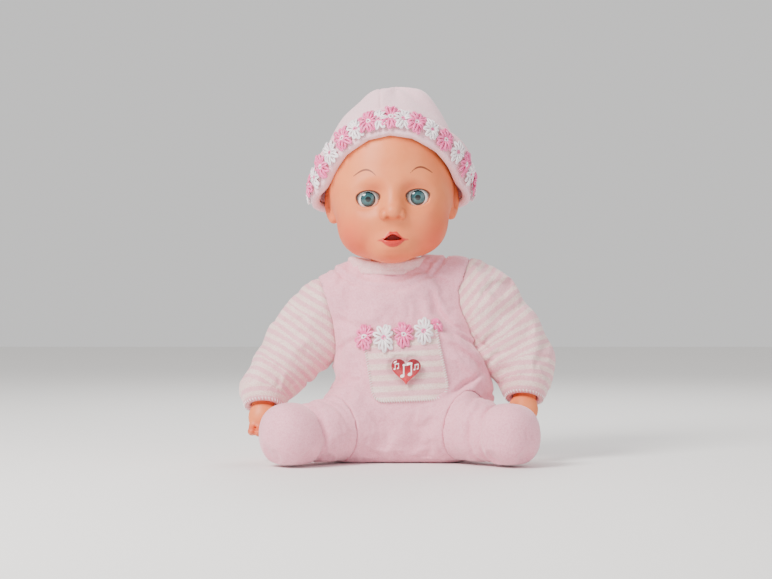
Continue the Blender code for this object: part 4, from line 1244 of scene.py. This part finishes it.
def petal(angle, reach_out, half, lift):
    """One ribbon loop of a flower lying in the XY plane, from its middle outwards."""
    s = 2 * math.pi * np.arange(20) / 20
    out = 0.8 + reach_out * (0.5 - 0.5 * np.cos(s))
    side = half * np.sin(s) * (0.75 + 0.35 * out / reach_out)
    up = 0.8 + lift * np.sin(math.pi * ramp(out, 0, reach_out + 1.6)) + 0.25 * np.sin(s)
    verts, faces = cord(np.stack([side, out, up], -1), UP, 1.0, 0.55, True)
    c, n = math.cos(angle), math.sin(angle)
    turn = np.array(((c, n, 0), (-n, c, 0), (0, 0, 1)))
    return verts @ turn.T, faces


def flower(size, seed):
    """A flower of ribbon loops: long ones up and down, short ones to the sides."""
    rng = np.random.default_rng(seed)
    petals = []
    for angle in (-26, 0, 27, 62, 118, 154, 180, 206, 242, 298):
        far = (4.0 + 3.4 * abs(math.cos(math.radians(angle)))) * size * rng.uniform(0.88, 1.1)
        turned_to = math.radians(angle + rng.uniform(-8, 8))
        petals.append(petal(turned_to, far, 1.05 * size, rng.uniform(1.0, 2.8)))
    return merged(petals)


def knot(size):
    """The small round middle of a flower, wound from a few turns of ribbon."""
    s = np.linspace(0, 2 * math.pi * 2.5, 46)
    r = (1.9 - 1.1 * s / s[-1]) * size
    spine = np.stack([r * np.cos(s), r * np.sin(s), 1.7 + 0.9 * s / s[-1]], -1)
    return cord(spine, UP, 0.6, 0.45, False)


def satin_material(name, colour, deep):
    n = Nodes(name)
    where = n.place()
    thread = n.noise(n.scaled(where, (1, 1, 0.25)), 2600, 2)
    tint = n.mix(n.step(n.noise(where, 260, 2), 0.35, 0.68), colour, deep)
    tint = n.mix(n.times(n.step(thread, 0.6, 0.35), 0.35), tint, deep)
    normal = n.bump(thread, 0.0002, 0.6)
    return n.done(tint, 0.3, normal, Sheen_Weight=0.3, Sheen_Roughness=0.3, Specular_IOR_Level=0.6)


def flower_pieces(label, places, body, node):
    """Lays flowers at places, each a point, right, up and normal direction, size and colour."""
    sets = {"pink": [], "white": []}
    for number, (at, right, up, normal, size, colour) in enumerate(places):
        basis = np.array((right, up, normal))
        other = "white" if colour == "pink" else "pink"
        for shade, (verts, faces) in ((colour, flower(size, number + 5)), (other, knot(size))):
            sets[shade].append((at + verts @ basis, faces))
    for shade, parts in sets.items():
        piece = mesh_piece(f"{label}_{shade}", *merged(parts), HEAD_FRAME if body == "hat" else None)
        piece.data.materials.append(bpy.data.materials[f"satin_{shade}"])
        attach(piece, body)
        if shade == "pink":
            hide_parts(node)


def build_hat_flowers():
    around = []
    last = math.radians(102)
    angle = -last
    while angle < last:
        around.append(angle)
        angle += math.radians(11.2) * (1.0 + 0.10 * math.sin(5 * angle))
    middle = min(range(len(around)), key=lambda i: abs(around[i]))
    around = np.array(around) - around[middle] + 0.02
    edge = lowest(around)
    t = 0.48
    at = cuff_point(around, edge, t, cuff_offset(around, t) + 0.1)
    right = cuff_point(around + 0.03, lowest(around + 0.03), t, cuff_offset(around + 0.03, t)) - at
    up = cuff_point(around, edge, t + 0.08, cuff_offset(around, t + 0.08)) - at
    places = []
    for i in range(len(around)):
        x = unit(right[i])
        z = unit(np.cross(x, up[i]))
        size, colour = (1.15, "white") if (i - middle) % 2 else (1.28, "pink")
        places.append((at[i], x, np.cross(z, x), z, size, colour))
    flower_pieces("hat_flowers", places, "hat", "hat_trim")


# ---------------------------------------------------------------- pocket and heart button
SEAM_INSET = 0.9
POCKET = ((-23.0, 98.5), (34.0, 105.5), (45.5, 49.0), (-14.5, 46.5))


def pocket_outline(x, z):
    """Under 0 inside the pocket's outline, which has round lower corners."""
    worst = None
    sharp = (1.0, 4.0, 14.0, 9.0)
    for (ax, az), (bx, bz), k in zip(POCKET, POCKET[1:] + POCKET[:1], sharp):
        span = math.hypot(bx - ax, bz - az)
        d = -((x - ax) * (bz - az) - (z - az) * (bx - ax)) / span
        worst = d if worst is None else -join(-worst, -d, k)
    return worst


def pocket_lift(p):
    """How far the pocket stands off the trunk: tight at its sides and under the heart, loose at its mouth."""
    inside = ramp(-pocket_outline(p[..., 0], p[..., 2]), 0, 12)
    top = ramp(p[..., 2], 84, 20)
    across = np.stack([np.abs(p[..., 0] - HEART_X), 0 * p[..., 1], p[..., 2] - HEART_Z], -1)
    heart = capsule(across, (5.2, 0, 4.0), (0, 0, -9.4), 6.3, 0.9)
    under_heart = np.clip((3.4 - heart) / 3.2, 0, 1)
    return 1.0 + 0.7 * inside * (1 - under_heart) + 1.1 * top * inside - 0.9 * under_heart


def pocket(p):
    sheet = np.abs(trunk(p) - pocket_lift(p)) - 0.85
    wave = 0.18 * np.sin(p[..., 2] * 2 * math.pi / 4.25)
    body = -join(-(sheet + wave), -pocket_outline(p[..., 0], p[..., 2]), 1.2)
    body = np.maximum(body, p[..., 1] + 16)
    hole = np.maximum(np.hypot(p[..., 0] - HEART_X, p[..., 2] - HEART_Z) - 3.6, p[..., 1] + 30)
    return carve(body, hole, 0.6)


def on_front(field, x, z):
    """The points where rays going straight back from in front of the doll meet the field's surface."""
    p = np.stack([x, np.full_like(x, -85.0), z], -1)
    for _ in range(60):
        p[:, 1] += np.clip(field(p) * 0.8, -2, 6)
    return p


def stitches(points, outward, normal, half, thick):
    """Whip stitches: a short bowed thread over the edge at each point."""
    s = np.linspace(-1, 1, 7)
    threads = []
    for at, out, up in zip(points, outward, normal):
        lean = np.cross(up, out) * 0.35
        spine = at + (out + lean) * (half * s)[:, None] + up * (0.9 - 1.1 * s * s)[:, None]
        threads.append(cord(spine, up, thick, thick * 0.8, False))
    return merged(threads)


def thread_material():
    n = Nodes("sewing_thread")
    where = n.place()
    twist = n.noise(where, 3000, 2)
    colour = n.mix(n.step(twist, 0.35, 0.65), srgb(240, 226, 224), srgb(252, 244, 242))
    return n.done(colour, 0.75, n.bump(twist, 0.0002, 0.6), Sheen_Weight=0.3, Sheen_Roughness=0.4)


def build_pocket():
    verts, faces = surface_of(pocket, (-28, -56, 42), (50, -14, 110), 0.8)
    piece = mesh_piece("romper_pocket", verts, faces)
    note(piece, "along", verts[:, 2] - 0.06 * verts[:, 0])
    piece.data.materials.append(terry_material("terry_pocket", 8.5))
    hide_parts("pocket")
    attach(piece, "torso")

    a = np.linspace(math.radians(52), math.radians(-242), 700)
    way = np.stack([np.cos(a), np.sin(a)])
    middle = np.array(((11,), (75,)))
    reach_out = np.full(len(a), 20.0)
    for _ in range(60):
        reach_out = reach_out - (pocket_outline(*(middle + reach_out * way)) + SEAM_INSET) * 0.8
    x, z = middle + reach_out * way
    gone = np.concatenate([[0], np.cumsum(np.hypot(np.diff(x), np.diff(z)))])
    steps = np.arange(0, gone[-1], 1.9)
    at = on_front(pocket, np.interp(steps, gone, x), np.interp(steps, gone, z))
    outward = unit(slope(lambda p: pocket_outline(p[:, 0], p[:, 2]), at, 0.1))
    normal = unit(slope(trunk, at, 0.5))
    outward = unit(outward - normal * (outward * normal).sum(1)[:, None])
    seam = mesh_piece("pocket_stitches", *stitches(at, outward, normal, 1.2, 0.3))
    seam.data.materials.append(thread_material())
    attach(seam, "torso")


def build_pocket_flowers():
    spots = (
        (-20.5, 96, "pink", 1.25),
        (-6, 95.5, "white", 1.3),
        (9, 98, "pink", 1.25),
        (24, 100.5, "white", 1.25),
        (34, 104.5, "pink", 0.6),
    )
    x, z = np.array([spot[:2] for spot in spots], float).T
    at = on_front(lambda p: np.minimum(pocket(p), trunk(p)), x, z)
    normal = unit(slope(trunk, at, 1.0))
    places = []
    for point, out, (_, _, colour, size) in zip(at, normal, spots):
        right = unit(np.cross(UP, out))
        places.append((point + out * 0.1, right, np.cross(out, right), out, size, colour))
    flower_pieces("pocket_flowers", places, "torso", "pocket_trim")


def line_distance(x, z, a, b, half):
    p = np.stack([x, 0 * x, z], -1)
    return capsule(p, (a[0], 0, a[1]), (b[0], 0, b[1]), half, half)


def music_notes(x, z):
    """Distance to three painted pairs of notes, about the heart's middle."""
    d = np.full(x.shape, 9.0)
    for cx, cz, size in ((0.6, 0.6, 1.0), (-7.2, 4.0, 0.44), (7.8, 3.6, 0.42)):
        u, v = (x - cx) / size, (z - cz) / size
        parts = [
            line_distance(u, v, (-2.4, -3.0), (-2.4, 4.8), 0.42),
            line_distance(u, v, (3.4, -1.6), (3.4, 6.2), 0.42),
            line_distance(u, v, (-2.4, 4.9), (3.4, 6.2), 0.75),
        ]
        for hx, hz in ((-3.5, -3.4), (2.3, -2.0)):
            c, s = math.cos(0.4), math.sin(0.4)
            a, b = (u - hx) * c + (v - hz) * s, -(u - hx) * s + (v - hz) * c
            parts.append((np.hypot(a / 1.65, b / 1.15) - 1) * 1.15)
        d = np.minimum(d, np.minimum.reduce(parts) * size)
    return d


def heart_material():
    n = Nodes("heart_gloss")
    where = n.place()
    red = n.mix(n.step(n.split(where)[2], 0.062, 0.079), srgb(208, 6, 38), srgb(128, 0, 26))
    speck = n.step(n.noise(where, 700), 0.55, 0.75)
    red = n.mix(n.times(speck, 0.15), red, srgb(240, 90, 100))
    colour = n.mix(n.step(n.attribute("note"), 0.12, -0.05), red, srgb(250, 240, 242))
    normal = n.bump(n.noise(where, 160, 1), 0.0002, 0.2)
    return n.done(colour, 0.16, normal, Coat_Weight=0.8, Coat_Roughness=0.04)


def heart_ring(x, z, y):
    return np.stack([HEART_X + x, np.full(len(x), y), HEART_Z + z], -1)


def build_heart():
    rows = 52
    t = 2 * math.pi * (np.arange(168) + 0.5) / 168
    scale = 22.6 / 32
    x = 16 * np.sin(t) ** 3 * scale
    z = (13 * np.cos(t) - 5 * np.cos(2 * t) - 2 * np.cos(3 * t) - np.cos(4 * t) + 2.5) * scale
    levels = [(0.96, -47.5), (0.995, -48.0)]
    levels += [(k / rows, -49.3 - 3.0 * (1 - (k / rows) ** 3.2) ** 0.55) for k in range(rows, 0, -1)]
    a = 2 * math.pi * np.arange(24) / 24
    heart = [heart_ring(x * s, z * s, y) for s, y in levels]
    post = [heart_ring(3 * np.cos(a), 3 * np.sin(a), y) for y in (-41.2, -49.0)]
    verts, faces = merged([capped(np.array(heart)), capped(np.array(post))])
    piece = mesh_piece("heart_badge", verts, faces)
    note(piece, "note", music_notes(verts[:, 0] - HEART_X, verts[:, 2] - HEART_Z))
    piece.data.materials.append(heart_material())
    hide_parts("heart_button")
    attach(piece, "heart_button")


def build_cuff_stitches(side, name):
    a = 2 * math.pi * np.arange(36) / 36
    radial = np.stack([np.cos(a), np.sin(a), 0 * a], -1)
    threads = stitches(14.4 * radial, np.tile(-UP, (len(a), 1)), radial, 1.6, 0.38)
    seam = mesh_piece(f"{name}_cuff_stitches", *threads, wrist_frame(side))
    seam.data.materials.append(bpy.data.materials["sewing_thread"])
    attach(seam, f"{name}_arm")


# ---------------------------------------------------------------- the CAD parts that stay as they are
def moulded(name, colour, deep, rough):
    """Moulded plastic with a fine spark texture and a little handling wear."""
    n = Nodes(name)
    where = n.place()
    spark = n.noise(where, 1800, 2, 0.6)
    worn = n.noise(where, 85, 3, 0.6)
    tint = n.mix(n.step(worn, 0.35, 0.7), colour, deep)
    shine = n.plus(rough - 0.06, n.times(worn, 0.14))
    return n.done(tint, shine, n.bump(spark, 0.00006, 0.5), Specular_IOR_Level=0.45)


def drawn_steel():
    """Metal with fine drawn lines along one way and dull spots."""
    n = Nodes("drawn_steel")
    where = n.place()
    lines = n.noise(n.scaled(where, (1, 0.06, 1)), 5200, 3, 0.6)
    spots = n.noise(where, 420, 2)
    tint = n.mix(n.step(spots, 0.35, 0.7), srgb(206, 206, 210), srgb(150, 150, 156))
    shine = n.plus(0.26, n.times(spots, 0.16))
    return n.done(tint, shine, n.bump(lines, 0.00002, 0.6), Metallic=1.0)


def twisted(name, colour, deep):
    n = Nodes(name)
    where = n.place()
    ply = n.noise(n.scaled(where, (1, 1, 0.4)), 2300, 2, 0.6)
    tint = n.mix(n.step(ply, 0.35, 0.65), deep, colour)
    return n.done(tint, 0.8, n.bump(ply, 0.0003, 0.7), Sheen_Weight=0.3, Sheen_Roughness=0.5)


def board_material():
    n = Nodes("circuit_board")
    where = n.place()
    track = n.voronoi(n.scaled(where, (1, 0.1, 1)), 420, "DISTANCE_TO_EDGE")
    mask = n.mix(n.noise(where, 90, 2), srgb(18, 96, 52), srgb(24, 118, 66))
    tint = n.mix(n.step(track, 0.12, 0.05), mask, srgb(52, 150, 84))
    return n.done(tint, 0.35, n.bump(n.step(track, 0.12, 0.05), 0.00008, 0.6))


def build_carried_over():
    shell = moulded("module_plastic", srgb(250, 236, 232), srgb(238, 220, 216), 0.42)
    dark = moulded("switch_plastic", srgb(62, 60, 64), srgb(44, 42, 46), 0.4)
    nylon = twisted("waxed_cord", srgb(246, 226, 222), srgb(214, 176, 174))
    lead = moulded("lead_jacket", srgb(196, 40, 44), srgb(160, 26, 30), 0.45)
    cone = twisted("paper_cone", srgb(58, 56, 58), srgb(28, 27, 29))
    gather = velour_material("gathered_velour", VELOUR, VELOUR_DEEP)
    looks = {
        shell: ("module_rear_case", "module_front_case", "battery_door", "press_switch"),
        dark: ("power_switch_body", "power_switch_knob"),
        drawn_steel(): (
            "battery_door_screw",
            *(f"case_screw_{k}" for k in (1, 2, 3, 4)),
            *(f"button_cell_{k}" for k in (1, 2, 3)),
            "battery_contact_spring",
            "battery_contact_plate",
        ),
        nylon: ("neck_tie", "left_wrist_tie", "right_wrist_tie"),
        lead: ("sensor_lead",),
        cone: ("speaker",),
        gather: ("neck_gather",),
        board_material(): ("circuit_board",),
    }
    for material, names in looks.items():
        for name in names:
            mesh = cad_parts[name].data
            mesh.materials.clear()
            mesh.materials.append(material)


# ---------------------------------------------------------------- stage
def soft_light(name, at, target, size, power, colour=(1, 1, 1)):
    data = bpy.data.lights.new(name, "AREA")
    data.shape = "DISK"
    data.size = size
    data.energy = power
    data.color = colour
    lamp = bpy.data.objects.new(name, data)
    bpy.context.scene.collection.objects.link(lamp)
    lamp.location = at
    lamp.rotation_euler = (Vector(target) - Vector(at)).to_track_quat("-Z", "Y").to_euler()


def build_stage():
    corners = np.array(((-1, -1, 0), (1, -1, 0), (1, 1, 0), (-1, 1, 0))) * 3000
    floor = mesh_piece("studio_floor", corners, [(0, 1, 2, 3)])
    n = Nodes("studio_floor")
    floor.data.materials.append(n.done(srgb(236, 234, 232), 0.7))
    floor.location.z = -0.0002
    world = bpy.data.worlds.new("studio")
    world.use_nodes = True
    backdrop = world.node_tree.nodes["Background"]
    backdrop.inputs["Color"].default_value = (*srgb(238, 237, 236), 1)
    backdrop.inputs["Strength"].default_value = 0.95
    bpy.context.scene.world = world
    soft_light("key", (-0.75, -0.75, 0.95), (0, 0, 0.13), 0.6, 31.0, (1, 0.98, 0.95))
    soft_light("fill", (0.8, -0.8, 0.35), (0, 0, 0.12), 0.8, 2.5)
    soft_light("rim", (0.15, 0.8, 0.9), (0, 0, 0.15), 0.6, 7.0)
    camera_data = bpy.data.cameras.new("camera")
    camera_data.sensor_width = 36
    camera_data.lens = 91
    camera = bpy.data.objects.new("camera", camera_data)
    bpy.context.scene.collection.objects.link(camera)
    camera.location = (-0.0046, -1.530, 0.1328)
    camera.rotation_euler = (math.radians(90), 0, 0)
    bpy.context.scene.camera = camera


build_stage()
build_head()
for side, sign in (("left", 1), ("right", -1)):
    build_eye(side, sign)
build_torso()
build_collar()
satin_material("satin_pink", srgb(250, 124, 178), srgb(236, 88, 150))
satin_material("satin_white", srgb(252, 246, 248), srgb(238, 222, 230))
build_hat()
build_hat_flowers()
build_pocket()
build_pocket_flowers()
build_heart()
for name, side in (("left", 1), ("right", -1)):
    build_sleeve(side, name)
    build_hand(side, name)
    build_cuff_stitches(side, name)
    build_leg(side, name)

build_carried_over()
